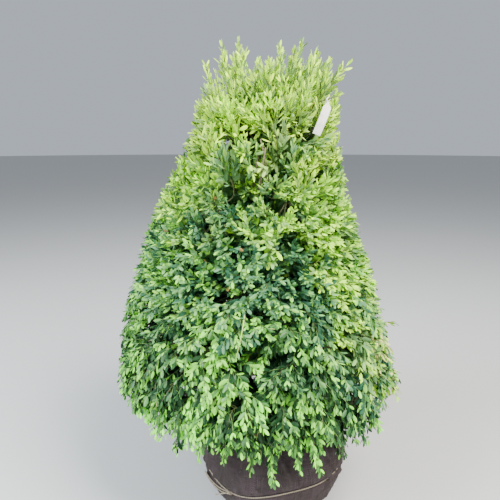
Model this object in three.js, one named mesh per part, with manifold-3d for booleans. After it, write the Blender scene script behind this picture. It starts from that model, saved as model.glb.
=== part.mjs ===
// A cone-shaped boxwood shrub on its burlap-wrapped root ball, in millimetres, +Z up.
// The origin is the centre of the ball's flat underside, and -Y is the side seen from the front.
// One trunk rises from the ball, boughs leave it in five tiers, and each bough carries one mass
// of foliage: a stem, twigs that branch from it, opposite leaves on the twigs, and a dense core.
import * as THREE from "three";
import { mergeVertices } from "three/addons/utils/BufferGeometryUtils.js";
import Module from "manifold-3d";

const wasm = await Module();
wasm.setup();

// Root ball: a lumpy sphere cut flat below, narrower towards its foot, flat where the trunk stands
const BALL_RADIUS = 181;
const BALL_CENTRE_LEVEL = 96;
const BALL_TOP_LEVEL = 272;
const BALL_FOOT_NARROWING = 0.04;
// Its lumps: waves round it, each a share of the radius with its count and its turn in radians
const BALL_LOBES = [
  { share: 0.0192, count: 1, turn: 0.35 },
  { share: 0.012, count: 3, turn: 0.6 },
];
const BALL_STEPS_ROUND = 28;
const BALL_STEPS_UP = 9;

// Twine round the ball, drawn down on one side where it is tied
const TWINE_RADIUS = 1.9;
const TWINE_LEVEL = 98;
const TWINE_DIP = 26;
const TWINE_DIP_AZIMUTH = -117;
const TWINE_DIP_SPREAD = 27;
const TWINE_STEPS = 36;
const TWINE_SIDES = 5;

// Trunk: root flare, taper and lean, from the ball's top to the fork
const TRUNK_FOOT_RADIUS = 27;
const TRUNK_RADIUS = 17;
const TRUNK_FORK_RADIUS = 6;
const TRUNK_FLARE_SHARE = 0.1;
const TRUNK_FORK = new THREE.Vector3(-36, 0, 858);
const TRUNK_BEND_SHARE = 0.2;
const TRUNK_SIDES = 9;
const TRUNK_STEPS = 8;

// Crown outline: radius at each level above the ground, lowest tips to highest tips
const CROWN_OUTLINE = [
  { level: 150, radius: 180 },
  { level: 205, radius: 300 },
  { level: 290, radius: 362 },
  { level: 400, radius: 349 },
  { level: 520, radius: 324 },
  { level: 640, radius: 284 },
  { level: 760, radius: 236 },
  { level: 880, radius: 190 },
  { level: 965, radius: 168 },
  { level: 1050, radius: 173 },
  { level: 1115, radius: 88 },
];
// The crown bulges towards -X between these two levels, most at their middle
const CROWN_LEAN = 58;
const CROWN_LEAN_FROM = 60;
const CROWN_LEAN_TO = 1060;
const OUTLINE_STEPS = 120;
const INSET_STEPS = 6;

// Tiers of foliage: level of the masses' centres, azimuth of the first, rise of their stems,
// level where their boughs leave the trunk and how far those stagger
const TIERS = [
  { name: "skirt", count: 6, level: 262, turn: 30, rise: -26, attach: 326, step: 15 },
  { name: "lower", count: 6, level: 436, turn: 0, rise: 6, attach: 408, step: 15 },
  { name: "middle", count: 5, level: 614, turn: 54, rise: 24, attach: 544, step: 14 },
  { name: "upper", count: 5, level: 788, turn: 18, rise: 42, attach: 694, step: 14 },
  { name: "plume", count: 4, level: 968, turn: 45, rise: 64, attach: 832, step: 14 },
];
const LEVEL_WANDER = 12;
const TURN_WANDER = 5;

// Boughs, and the stems that grow on from them
const BOUGH_SHARE_OF_TRUNK = 0.58;
const BOUGH_TAPER = 0.6;
const BOUGH_SIDES = 5;
const BOUGH_STEPS = 3;
const BOUGH_BEND = 0.5;
const STEM_TAPER = 0.6;

// Cores: each mass's share of a thick dense layer under the crown's cover of leaves, with a
// low peak on top and a plain hollow round the trunk
const CORE_COVER = 46;
const CORE_THICKNESS = 70;
const CORE_SIDES = 17;
const CORE_STEPS = 10;
const CORE_DENTS = 17;
const CORE_TOP_LEVEL = 1046;
const CORE_PEAK = 24;
const CORE_LEAST_RADIUS = 10;
const HOLLOW_SIDES = 9;
const HOLLOW_STEPS = 6;
const CORE_SEAM = 2.5;
const CORE_OVER_BALL = 18;
const BALL_CUT_DETAIL = 2;
const CORE_STANDOFF = 10;

// Twigs and leaves, fewer and larger than life, spread evenly over the whole crown
const TWIG_COUNT = 205;
const TIP_DEPTH = 2;
const TIP_WANDER = 16;
const TWIG_SPREAD = 0.5;
const TWIG_SWAY = 0.25;
const TWIG_BEND = 90;
const TWIG_RADIUS = 3.6;
const TWIG_END_RADIUS = 2.2;
const TWIG_SIDES = 3;
const TWIG_STEPS = 2;
const END_LEAF = { length: 62, width: 38 };
const PAIR_LEAF = { length: 76, width: 44 };
const PAIR_ANGLE = 52;
const LEAF_THICKNESS = 3;
const LEAF_WIDEST = 0.6;
const LEAF_SINK = 5;

// Plain tag whose ring hangs on a bare twig of one plume
const TAG_MASS = "plume_4";
const TAG_TOP = new THREE.Vector3(114, -112, 981);
const TAG_FOOT = new THREE.Vector3(88, -118, 914);
const TAG_WIDTH = 18;
const TAG_THICKNESS = 1.2;
const TAG_RING_RADIUS = 6;
const TAG_RING_WIRE = 1.2;
const TAG_NECK_SHARE = 0.3;
const TAG_FRONT = new THREE.Vector3(0.2, -1, 0);
const TAG_TWIG_RADIUS = 3.2;
const TAG_TWIG_END_RADIUS = 1.6;
const TAG_TWIG_PAST = 14;
const TAG_ROOM = 13;
const TAG_RING_SIDES = 5;
const TAG_RING_STEPS = 12;

// Gaps between solids, and the size below which a joined solid's edges are merged
const TOUCH_GAP = 0.3;
const CELL_GAP = 1.5;
const LIMB_GAP = 2;
const BALL_GAP = 7;
const SHORTEST_EDGE = 0.15;

// Seeds of the random draws
const LAYOUT_SEED = 11;
const TWIG_SEED = 7;
const CORE_SEED = 5;

const UP = new THREE.Vector3(0, 0, 1);
const radians = THREE.MathUtils.degToRad;
const mix = THREE.MathUtils.lerp;

// Seeded random numbers from 0 to 1, the same on every run
function randomSource(seed) {
  let state = seed;
  return () => {
    state = (state + 0x6d2b79f5) | 0;
    let mixed = Math.imul(state ^ (state >>> 15), 1 | state);
    mixed = (mixed + Math.imul(mixed ^ (mixed >>> 7), 61 | mixed)) ^ mixed;
    return ((mixed ^ (mixed >>> 14)) >>> 0) / 4294967296;
  };
}

// A closed geometry as a solid, and a solid as a geometry
function solidOf(geometry) {
  const bare = geometry.clone();
  bare.deleteAttribute("normal");
  bare.deleteAttribute("uv");
  const merged = mergeVertices(bare, 1e-4);
  return new wasm.Manifold(
    new wasm.Mesh({
      numProp: 3,
      vertProperties: new Float32Array(merged.attributes.position.array),
      triVerts: new Uint32Array(merged.index.array),
    }),
  );
}

function geometryOf(solid) {
  const mesh = solid.getMesh();
  const geometry = new THREE.BufferGeometry();
  geometry.setAttribute("position", new THREE.BufferAttribute(mesh.vertProperties, 3));
  geometry.setIndex(new THREE.BufferAttribute(mesh.triVerts, 1));
  geometry.computeVertexNormals();
  return geometry;
}

// The largest body of a joined solid, so that a loose scrap or a sealed hollow is left out
function largestBody(solid) {
  const bodies = solid.decompose();
  return bodies.reduce((best, body) => (body.volume() > best.volume() ? body : best));
}

// Cuts from a solid whichever of the cutters it meets
function cutBy(solid, cutters) {
  return cutters.reduce(
    (rest, cutter) => (rest.intersect(cutter).isEmpty() ? rest : rest.subtract(cutter)),
    solid,
  );
}

// Two directions square to an axis, for a section carried along it
function sectionFrame(tangent) {
  const reference = Math.abs(tangent.z) > 0.9 ? new THREE.Vector3(1, 0, 0) : UP;
  const side = reference.clone().addScaledVector(tangent, -reference.dot(tangent)).normalize();
  return { side, across: side.clone().cross(tangent) };
}

// A limb: a cylinder carried along a curve, its radius a function of the share of its length
function limbGeometry(curve, radiusAt, sides, steps) {
  const geometry = new THREE.CylinderGeometry(1, 1, 1, sides, steps);
  const position = geometry.attributes.position;
  for (let i = 0; i < position.count; i++) {
    const share = Math.round((position.getY(i) + 0.5) * steps) / steps;
    const { side, across } = sectionFrame(curve.getTangent(share));
    const radius = radiusAt(share);
    const point = curve.getPoint(share);
    point.addScaledVector(side, position.getX(i) * radius);
    point.addScaledVector(across, position.getZ(i) * radius);
    position.setXYZ(i, point.x, point.y, point.z);
  }
  return geometry;
}

// Crown outline: a smooth curve through the stations, and the sideways shift of its centre
const outlineCurve = new THREE.SplineCurve(
  CROWN_OUTLINE.map(({ level, radius }) => new THREE.Vector2(level, radius)),
);
const outlinePoints = outlineCurve.getPoints(OUTLINE_STEPS);
const CROWN_TOP_LEVEL = CROWN_OUTLINE[CROWN_OUTLINE.length - 1].level;
const CROWN_TOP_RADIUS = CROWN_OUTLINE[CROWN_OUTLINE.length - 1].radius;

function crownRadius(level) {
  const next = outlinePoints.findIndex((point) => point.x > level);
  if (next < 1) return 0;
  const [below, above] = [outlinePoints[next - 1], outlinePoints[next]];
  return mix(below.y, above.y, (level - below.x) / (above.x - below.x));
}

function crownShift(level) {
  const share = (level - CROWN_LEAN_FROM) / (CROWN_LEAN_TO - CROWN_LEAN_FROM);
  return -CROWN_LEAN * Math.sin(Math.PI * THREE.MathUtils.clamp(share, 0, 1));
}

function offAxis(point) {
  return Math.hypot(point.x - crownShift(point.z), point.y);
}

function inCrown(point) {
  return offAxis(point) <= crownRadius(point.z);
}

// The outline moved inwards by the same distance everywhere, negative where nothing is left of it
function insetRadius(level, inset) {
  let least = Infinity;
  for (let i = -INSET_STEPS; i <= INSET_STEPS; i++) {
    const rise = (inset * i) / INSET_STEPS;
    least = Math.min(least, crownRadius(level + rise) - Math.sqrt(inset ** 2 - rise ** 2));
  }
  return least;
}

// Root ball: its radius at a level and azimuth
function ballRadius(level, azimuth) {
  const rise = level - BALL_CENTRE_LEVEL;
  const round = Math.sqrt(Math.max(0, BALL_RADIUS ** 2 - rise ** 2));
  const depth = Math.max(0, 1 - level / BALL_CENTRE_LEVEL);
  const narrowing = 1 - BALL_FOOT_NARROWING * depth;
  const lumps = BALL_LOBES.map(({ share, count, turn }) => share * Math.cos(count * azimuth + turn));
  return round * narrowing * (1 + lumps.reduce((sum, lump) => sum + lump));
}

function ballGeometry() {
  const profile = [new THREE.Vector2(0, 0)];
  for (let i = 0; i <= BALL_STEPS_UP; i++) {
    profile.push(new THREE.Vector2(1, (BALL_TOP_LEVEL * i) / BALL_STEPS_UP));
  }
  profile.push(new THREE.Vector2(0, BALL_TOP_LEVEL));
  const geometry = new THREE.LatheGeometry(profile, BALL_STEPS_ROUND);
  geometry.rotateX(Math.PI / 2);
  const position = geometry.attributes.position;
  for (let i = 0; i < position.count; i++) {
    const azimuth = Math.atan2(position.getY(i), position.getX(i));
    const onAxis = Math.hypot(position.getX(i), position.getY(i)) < 0.5;
    const radius = onAxis ? 0 : ballRadius(position.getZ(i), azimuth);
    position.setX(i, radius * Math.cos(azimuth));
    position.setY(i, radius * Math.sin(azimuth));
  }
  return geometry;
}

// Twine: a closed tube that follows the ball at its own level
function twineLevel(degrees) {
  const away = THREE.MathUtils.euclideanModulo(degrees - TWINE_DIP_AZIMUTH + 180, 360) - 180;
  return TWINE_LEVEL - TWINE_DIP * Math.exp(-((away / TWINE_DIP_SPREAD) ** 2));
}

function twineGeometry() {
  const points = [];
  for (let i = 0; i < TWINE_STEPS; i++) {
    const degrees = (360 * i) / TWINE_STEPS;
    const azimuth = radians(degrees);
    const level = twineLevel(degrees);
    const radius = ballRadius(level, azimuth) + TWINE_RADIUS + TOUCH_GAP;
    points.push(
      new THREE.Vector3(radius * Math.cos(azimuth), radius * Math.sin(azimuth), level),
    );
  }
  const path = new THREE.CatmullRomCurve3(points, true);
  return new THREE.TubeGeometry(path, TWINE_STEPS, TWINE_RADIUS, TWINE_SIDES, true);
}

// Trunk: a bowed curve from the ball's top to the fork
const TRUNK_FOOT_LEVEL = BALL_TOP_LEVEL + TOUCH_GAP;
const trunkCurve = new THREE.QuadraticBezierCurve3(
  new THREE.Vector3(0, 0, TRUNK_FOOT_LEVEL),
  new THREE.Vector3(TRUNK_FORK.x * TRUNK_BEND_SHARE, 0, (TRUNK_FOOT_LEVEL + TRUNK_FORK.z) / 2),
  TRUNK_FORK,
);

function trunkRadius(share) {
  const taper = mix(TRUNK_RADIUS, TRUNK_FORK_RADIUS, share);
  const flare = Math.max(0, 1 - share / TRUNK_FLARE_SHARE) ** 2;
  return taper + (TRUNK_FOOT_RADIUS - TRUNK_RADIUS) * flare;
}

function trunkGeometry(grow) {
  const geometry = limbGeometry(
    trunkCurve,
    (share) => trunkRadius(share) + grow,
    TRUNK_SIDES,
    TRUNK_STEPS,
  );
  // The lowest ring is levelled, so that the trunk stands flat on the ball
  const position = geometry.attributes.position;
  const belowFirstRing = TRUNK_FOOT_LEVEL + 0.5 * ((TRUNK_FORK.z - TRUNK_FOOT_LEVEL) / TRUNK_STEPS);
  for (let i = 0; i < position.count; i++) {
    if (position.getZ(i) < belowFirstRing) position.setZ(i, TRUNK_FOOT_LEVEL);
  }
  return geometry;
}

function trunkShareAt(level) {
  return (level - TRUNK_FOOT_LEVEL) / (TRUNK_FORK.z - TRUNK_FOOT_LEVEL);
}

// Masses: a name, a centre, the stem's heading and where the bough leaves the trunk
function layOutMasses() {
  const random = randomSource(LAYOUT_SEED);
  const around = (spread) => (2 * random() - 1) * spread;
  return TIERS.flatMap((tier) =>
    Array.from({ length: tier.count }, (_, i) => {
      const azimuth = radians(tier.turn + (360 * i) / tier.count + around(TURN_WANDER));
      const level = tier.level + around(LEVEL_WANDER);
      const out = crownRadius(level) - CORE_COVER - CORE_THICKNESS / 2;
      const rise = radians(tier.rise);
      const centre = new THREE.Vector3(
        crownShift(level) + out * Math.cos(azimuth),
        out * Math.sin(azimuth),
        level,
      );
      const heading = new THREE.Vector3(
        Math.cos(azimuth) * Math.cos(rise),
        Math.sin(azimuth) * Math.cos(rise),
        Math.sin(rise),
      );
      const outward = new THREE.Vector3(Math.cos(azimuth), Math.sin(azimuth), 0);
      outward.add(heading).normalize();
      const attach = tier.attach + tier.step * ((i % 3) - 1);
      return { name: `${tier.name}_${i + 1}`, tier: tier.name, centre, heading, outward, attach };
    }),
  );
}

const masses = layOutMasses();

// A mass keeps to the part of the crown that is nearer to its own centre than to any other's
function inCell(mass, point) {
  return masses.every((other) => {
    if (other === mass) return true;
    const apart = other.centre.clone().sub(mass.centre);
    const halfWay = apart.length() / 2 - CELL_GAP;
    return point.clone().sub(mass.centre).dot(apart.normalize()) <= halfWay;
  });
}

function clearOfBall(point) {
  const distance = Math.hypot(point.x, point.y, point.z - BALL_CENTRE_LEVEL);
  return distance > BALL_RADIUS * (1 + BALL_LOBES[0].share + BALL_LOBES[1].share) + BALL_GAP;
}

function distanceToLine(point, line) {
  return line.closestPointToPoint(point, true, new THREE.Vector3()).distanceTo(point);
}

const tagLine = new THREE.Line3(TAG_TOP, TAG_FOOT);

function clearOfTag(point) {
  return distanceToLine(point, tagLine) > TAG_ROOM;
}

function inSpace(mass, point) {
  return inCell(mass, point) && inCrown(point) && clearOfBall(point) && clearOfTag(point);
}

// How far the dense layer goes inwards from the mass's centre, to the hollow round the trunk
function depthAlong(mass, direction) {
  const stride = 4;
  const point = mass.centre.clone();
  let depth = 0;
  while (offAxis(point) > insetRadius(point.z, CORE_COVER + CORE_THICKNESS) && inSpace(mass, point)) {
    depth += stride;
    point.addScaledVector(direction, stride);
  }
  return depth;
}

// Boughs: from the trunk, bending into the heading of the mass they carry
function planBough(mass) {
  const share = trunkShareAt(mass.attach);
  const back = mass.heading.clone().negate();
  const standoff = depthAlong(mass, back) + CORE_STANDOFF;
  const end = mass.centre.clone().addScaledVector(back, standoff);
  const start = trunkCurve.getPoint(share);
  const bend = end.clone().addScaledVector(back, BOUGH_BEND * start.distanceTo(end));
  mass.boughCurve = new THREE.QuadraticBezierCurve3(start, bend, end);
  const footRadius = BOUGH_SHARE_OF_TRUNK * trunkRadius(share);
  mass.boughRadius = (along) => footRadius * mix(1, BOUGH_TAPER, along);
}

masses.forEach(planBough);

function boughGeometry(mass, grow) {
  const radiusAt = (share) => mass.boughRadius(share) + grow;
  return limbGeometry(mass.boughCurve, radiusAt, BOUGH_SIDES, BOUGH_STEPS);
}

// The stem grows on from the bough's tip to the middle of the mass
function stemGeometry(mass) {
  const foot = mass.boughCurve.v2.clone().addScaledVector(mass.heading, TOUCH_GAP);
  const radiusAt = (share) => mass.boughRadius(1) * mix(1, STEM_TAPER, share);
  return limbGeometry(new THREE.LineCurve3(foot, mass.centre), radiusAt, BOUGH_SIDES, 1);
}

// Every limb as short straight runs, for keeping twigs and leaves clear of it
function runsOf(curve, radiusAt, steps) {
  const points = curve.getPoints(steps);
  return points.slice(1).map((end, i) => ({
    line: new THREE.Line3(points[i], end),
    radius: radiusAt(i / steps),
  }));
}

const limbRuns = [
  ...runsOf(trunkCurve, trunkRadius, TRUNK_STEPS),
  ...masses.flatMap((mass) => runsOf(mass.boughCurve, mass.boughRadius, BOUGH_STEPS)),
];

function isFree(mass, point) {
  return (
    inSpace(mass, point) &&
    limbRuns.every((run) => distanceToLine(point, run.line) > run.radius + LIMB_GAP)
  );
}

// A leaf: an eight-faced blade, widest past its middle, its face turned towards `facing`
function leafGeometry(size, root, along, facing) {
  const blade = new THREE.OctahedronGeometry(1, 0);
  const position = blade.attributes.position;
  const across = along.clone().cross(facing).normalize();
  const normal = across.clone().cross(along).normalize();
  for (let i = 0; i < position.count; i++) {
    const [x, y, z] = [position.getX(i), position.getY(i), position.getZ(i)];
    const share = y === 0 ? LEAF_WIDEST : (y + 1) / 2;
    const point = root.clone();
    point.addScaledVector(along, share * size.length);
    point.addScaledVector(across, (x * size.width) / 2);
    point.addScaledVector(normal, (z * LEAF_THICKNESS) / 2);
    position.setXYZ(i, point.x, point.y, point.z);
  }
  return blade;
}

function leafFits(mass, geometry) {
  const { position } = geometry.attributes;
  return Array.from({ length: position.count }, (_, i) =>
    new THREE.Vector3().fromBufferAttribute(position, i),
  ).every((point) => isFree(mass, point));
}

// The rise of the shoots at a level, between those of the tiers below and above it
function riseAt(level) {
  const next = TIERS.findIndex((tier) => tier.level > level);
  if (next < 1) return radians(TIERS[next === 0 ? 0 : TIERS.length - 1].rise);
  const [below, above] = [TIERS[next - 1], TIERS[next]];
  return radians(mix(below.rise, above.rise, (level - below.level) / (above.level - below.level)));
}

// Twig tips spread over the crown's face: equal areas of the outline, one golden turn apart
function planTips() {
  const random = randomSource(TWIG_SEED);
  const goldenTurn = Math.PI * (3 - Math.sqrt(5));
  const profile = [...outlinePoints, new THREE.Vector2(CROWN_TOP_LEVEL, 0)];
  const areas = [0];
  for (let i = 1; i < profile.length; i++) {
    const band = profile[i].distanceTo(profile[i - 1]) * (profile[i].y + profile[i - 1].y);
    areas.push(areas[i - 1] + band);
  }
  return Array.from({ length: TWIG_COUNT }, (_, i) => {
    const area = (areas[areas.length - 1] * (i + 0.5)) / TWIG_COUNT;
    const next = areas.findIndex((total) => total > area);
    const share = (area - areas[next - 1]) / (areas[next] - areas[next - 1]);
    const on = profile[next - 1].clone().lerp(profile[next], share);
    const azimuth = goldenTurn * i;
    const outwards = new THREE.Vector3(Math.cos(azimuth), Math.sin(azimuth), 0);
    const depth = TIP_DEPTH + TIP_WANDER * random() ** 2;
    const radius = Math.max(0, Math.min(on.y, crownRadius(on.x - depth)) - depth);
    const level = Math.min(on.x, CROWN_TOP_LEVEL - depth);
    const tip = new THREE.Vector3(crownShift(level), 0, level).addScaledVector(outwards, radius);
    const rise = riseAt(level);
    const flat = Math.cos(rise) * (1 + TWIG_SPREAD) * Math.min(1, radius / CROWN_TOP_RADIUS);
    const heading = outwards.clone().multiplyScalar(flat);
    heading.z = Math.sin(rise);
    const sway = new THREE.Vector3(random() - 0.5, random() - 0.5, random() - 0.5);
    heading.normalize().addScaledVector(sway, TWIG_SWAY).normalize();
    return { tip, along: heading, turn: random() * Math.PI };
  });
}

const tips = planTips();

// A twig bends out of the stem to a node just under the core's face, where an end leaf and an
// opposite pair stand on it
function leafyTwig(mass, { tip, along, turn }) {
  const node = tip.clone().addScaledVector(along, -END_LEAF.length);
  const facing = mass.outward.clone().add(UP);
  const leaves = [leafGeometry(END_LEAF, node, along, facing)];
  const { side, across } = sectionFrame(along);
  const sideways = side.multiplyScalar(Math.cos(turn)).addScaledVector(across, Math.sin(turn));
  for (const sign of [1, -1]) {
    const leafAlong = along.clone().multiplyScalar(Math.cos(radians(PAIR_ANGLE)));
    leafAlong.addScaledVector(sideways, sign * Math.sin(radians(PAIR_ANGLE)));
    leaves.push(leafGeometry(PAIR_LEAF, node, leafAlong, along));
  }
  const kept = leaves.filter((leaf) => leafFits(mass, leaf));
  if (!kept.length) return [];
  const bend = tip.clone().addScaledVector(along, -TWIG_BEND);
  const end = node.clone().addScaledVector(along, LEAF_SINK);
  const radiusAt = (share) => mix(TWIG_RADIUS, TWIG_END_RADIUS, share);
  const curve = new THREE.QuadraticBezierCurve3(mass.centre, bend, end);
  return [limbGeometry(curve, radiusAt, TWIG_SIDES, TWIG_STEPS), ...kept];
}

// The inside of the crown at an inset, as a solid dented at random and peaked on top
function crownSolid({ inset, sides, steps, dents, peak }) {
  const levels = outlinePoints
    .map((point) => point.x)
    .filter((level) => insetRadius(level, inset) > CORE_LEAST_RADIUS);
  const lowest = levels[0];
  const highest = Math.min(CORE_TOP_LEVEL, levels[levels.length - 1]);
  const profile = [new THREE.Vector2(0, lowest)];
  for (let i = 0; i <= steps; i++) {
    const level = mix(lowest, highest, i / steps);
    profile.push(new THREE.Vector2(insetRadius(level, inset), level));
  }
  profile.push(new THREE.Vector2(0, highest + peak));
  const geometry = new THREE.LatheGeometry(profile, sides);
  geometry.rotateX(Math.PI / 2);
  const random = randomSource(CORE_SEED);
  const depths = Array.from({ length: sides * profile.length }, () => dents * random());
  const position = geometry.attributes.position;
  for (let i = 0; i < position.count; i++) {
    const radius = Math.hypot(position.getX(i), position.getY(i));
    const uneven = radius > CORE_LEAST_RADIUS / 2 ? 1 - depths[i % depths.length] / radius : 0;
    position.setX(i, crownShift(position.getZ(i)) + position.getX(i) * uneven);
    position.setY(i, position.getY(i) * uneven);
  }
  return solidOf(geometry);
}

function denseLayer() {
  const outside = crownSolid({
    inset: CORE_COVER,
    sides: CORE_SIDES,
    steps: CORE_STEPS,
    dents: CORE_DENTS,
    peak: CORE_PEAK,
  });
  const inside = crownSolid({
    inset: CORE_COVER + CORE_THICKNESS,
    sides: HOLLOW_SIDES,
    steps: HOLLOW_STEPS,
    dents: 0,
    peak: 0,
  });
  const overBall = new THREE.IcosahedronGeometry(BALL_RADIUS + CORE_OVER_BALL, BALL_CUT_DETAIL);
  overBall.translate(0, 0, BALL_CENTRE_LEVEL);
  return outside.subtract(inside).subtract(solidOf(overBall));
}

const layer = denseLayer();

// A core is the part of the layer that is nearer to its own mass's centre than to any other's
function coreSolid(mass) {
  const others = masses.filter((other) => other !== mass);
  const core = others.reduce((rest, other) => {
    const inwards = mass.centre.clone().sub(other.centre).normalize();
    const halfWay = mass.centre.clone().add(other.centre).multiplyScalar(0.5);
    return rest.trimByPlane(inwards.toArray(), inwards.dot(halfWay) + CORE_SEAM);
  }, layer);
  return largestBody(core);
}

// Tag: its own frame has Y up the plate, and the ring's middle lies on the twig that carries it
const tagUp = TAG_TOP.clone().sub(TAG_FOOT).normalize();
const tagRingCentre = TAG_TOP.clone().addScaledVector(tagUp, TAG_RING_RADIUS - TAG_RING_WIRE / 2);
const tagMass = masses.find((mass) => mass.name === TAG_MASS);

function planTagTwig() {
  const inner = TAG_RING_RADIUS - TAG_RING_WIRE;
  const start = tagMass.centre;
  const drop = inner - 1.25 * TAG_TWIG_END_RADIUS - TOUCH_GAP;
  const hang = tagRingCentre.clone().addScaledVector(tagUp, drop);
  const direction = hang.clone().sub(start).normalize();
  const end = hang.clone().addScaledVector(direction, TAG_TWIG_PAST);
  return { start, end, direction };
}

const tagTwig = planTagTwig();

function tagTwigGeometry() {
  const path = new THREE.LineCurve3(tagTwig.start, tagTwig.end);
  const radiusAt = (share) => mix(TAG_TWIG_RADIUS, TAG_TWIG_END_RADIUS, share);
  return limbGeometry(path, radiusAt, TWIG_SIDES, 1);
}

function tagSolid() {
  const length = TAG_TOP.distanceTo(TAG_FOOT);
  const half = TAG_WIDTH / 2;
  const neck = half * TAG_NECK_SHARE;
  const outline = new THREE.Shape();
  outline.moveTo(-half, -length);
  outline.lineTo(half, -length);
  outline.lineTo(half, -half);
  outline.lineTo(neck, 0);
  outline.lineTo(-neck, 0);
  outline.lineTo(-half, -half);
  outline.closePath();
  const plate = new THREE.ExtrudeGeometry(outline, { depth: TAG_THICKNESS, bevelEnabled: false });
  plate.translate(0, 0, -TAG_THICKNESS / 2);
  const x = tagUp.clone().cross(TAG_FRONT).normalize();
  const z = x.clone().cross(tagUp);
  const ring = new THREE.TorusGeometry(TAG_RING_RADIUS, TAG_RING_WIRE, TAG_RING_SIDES, TAG_RING_STEPS);
  ring.rotateY(Math.atan2(tagTwig.direction.dot(x), tagTwig.direction.dot(z)));
  ring.translate(0, TAG_RING_RADIUS - TAG_RING_WIRE / 2, 0);
  const frame = new THREE.Matrix4().makeBasis(x, tagUp, z).setPosition(TAG_TOP);
  return solidOf(plate).add(solidOf(ring)).transform(frame.elements);
}

// One mass of foliage, cut clear of the limbs that it meets
function massSolid(mass, limbs) {
  const pieces = tips.filter(({ tip }) => inSpace(mass, tip)).flatMap((twig) => leafyTwig(mass, twig));
  pieces.push(stemGeometry(mass));
  if (mass === tagMass) pieces.push(tagTwigGeometry());
  const joined = wasm.Manifold.union([coreSolid(mass), ...pieces.map(solidOf)]);
  return largestBody(cutBy(joined, limbs).simplify(SHORTEST_EDGE));
}

// Finishes
function finish(color, roughness) {
  return new THREE.MeshStandardMaterial({ color, roughness, metalness: 0, flatShading: true });
}

const burlap = finish(0x5d4a3f, 0.95);
const twineFibre = finish(0xa68f72, 0.9);
const bark = finish(0x7d6a50, 0.85);
const tagCard = finish(0xe6e2d8, 0.6);
const foliage = {
  skirt: finish(0x4d8a3a, 0.5),
  lower: finish(0x528f3b, 0.5),
  middle: finish(0x5c943c, 0.5),
  upper: finish(0x74a83f, 0.5),
  plume: finish(0x8fbc45, 0.5),
};

const plant = new THREE.Group();

function addNode(name, solid, material) {
  const mesh = new THREE.Mesh(geometryOf(solid), material);
  mesh.name = name;
  plant.add(mesh);
}

addNode("root_ball", solidOf(ballGeometry()), burlap);
addNode("twine", solidOf(twineGeometry()), twineFibre);
addNode("trunk", solidOf(trunkGeometry(0)), bark);
addNode("tag", tagSolid(), tagCard);

// Each bough is cut by the trunk and by the boughs before it, and each mass by every limb
const limbCutters = [solidOf(trunkGeometry(TOUCH_GAP))];
for (const mass of masses) {
  const bough = largestBody(cutBy(solidOf(boughGeometry(mass, 0)), limbCutters));
  addNode(`bough_${mass.name}`, bough, bark);
  limbCutters.push(solidOf(boughGeometry(mass, TOUCH_GAP)));
}
masses.forEach((mass) => {
  const solid = massSolid(mass, limbCutters);
  addNode(`foliage_${mass.name}`, solid, foliage[mass.tier]);
});

export default plant;
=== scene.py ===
"""Dresses a broad, cone-shaped boxwood shrub on its burlap-wrapped root ball around its frame.

Lengths are metres and +Z is up. The origin is the middle of the ball's flat underside, and -Y is
the side seen from the front. Limbs, twigs and leaves follow the rule that laid out the frame's
own masses of foliage, carried to finer twigs inside the same outline.
"""

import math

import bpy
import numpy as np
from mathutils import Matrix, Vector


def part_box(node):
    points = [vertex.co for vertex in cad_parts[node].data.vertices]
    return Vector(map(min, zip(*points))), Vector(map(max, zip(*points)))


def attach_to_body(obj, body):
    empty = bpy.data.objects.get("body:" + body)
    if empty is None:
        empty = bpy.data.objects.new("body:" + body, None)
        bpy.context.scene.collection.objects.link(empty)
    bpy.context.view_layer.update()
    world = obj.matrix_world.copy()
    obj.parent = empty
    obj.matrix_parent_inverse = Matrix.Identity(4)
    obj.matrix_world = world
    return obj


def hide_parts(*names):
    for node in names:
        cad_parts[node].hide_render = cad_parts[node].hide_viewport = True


bl_info = {
    "name": "Boxwood Shrub on a Root Ball",
    "version": (1, 0, 0),
    "blender": (4, 5, 0),
    "location": "3D View > Sidebar > Boxwood",
    "description": "Grows a boxwood shrub, its burlap root ball, twine and tag around a fixed frame",
    "category": "Add Mesh",
}

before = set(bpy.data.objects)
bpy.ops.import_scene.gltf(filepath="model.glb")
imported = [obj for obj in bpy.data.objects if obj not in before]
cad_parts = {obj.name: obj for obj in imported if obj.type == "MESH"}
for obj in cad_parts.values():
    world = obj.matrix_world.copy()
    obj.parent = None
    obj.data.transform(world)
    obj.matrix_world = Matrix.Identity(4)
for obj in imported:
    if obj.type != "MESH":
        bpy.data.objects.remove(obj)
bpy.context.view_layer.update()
BODY = "root"
UP = np.array((0.0, 0.0, 1.0))

# A direction that lies along no path, for the side of a tube that needs none of its own
ASLANT = UP + 0.1

# What the frame gives: the levels of the ball's top and of the trunk's foot and fork, and the
# nodes that are foliage and boughs
BALL_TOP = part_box("root_ball")[1].z
TRUNK_FOOT_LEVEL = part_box("trunk")[0].z
TRUNK_FORK_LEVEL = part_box("trunk")[1].z
FOLIAGE_NODES = sorted(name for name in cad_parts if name.startswith("foliage_"))
BOUGH_NODES = sorted(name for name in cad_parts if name.startswith("bough_"))

# Root ball: a sphere cut flat below, with waves round it as (share of radius, count, turn)
BALL_RADIUS = 0.181
BALL_CENTRE_LEVEL = 0.096
BALL_FOOT_NARROWING = 0.04
BALL_LOBES = ((0.0192, 1, 0.35), (0.012, 3, 0.6))

# Twine: its level, and the dip where it is tied
TWINE_LEVEL = 0.098
TWINE_DIP = 0.026
TWINE_DIP_AZIMUTH = -117.0
TWINE_DIP_SPREAD = 27.0

# Twine's ring: points round it, its waver as (height, count), and how far it lies off the ball
RING_STEPS = 1400
RING_WAVER = (0.0006, 9)
RING_LIFT = 0.0008

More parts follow.
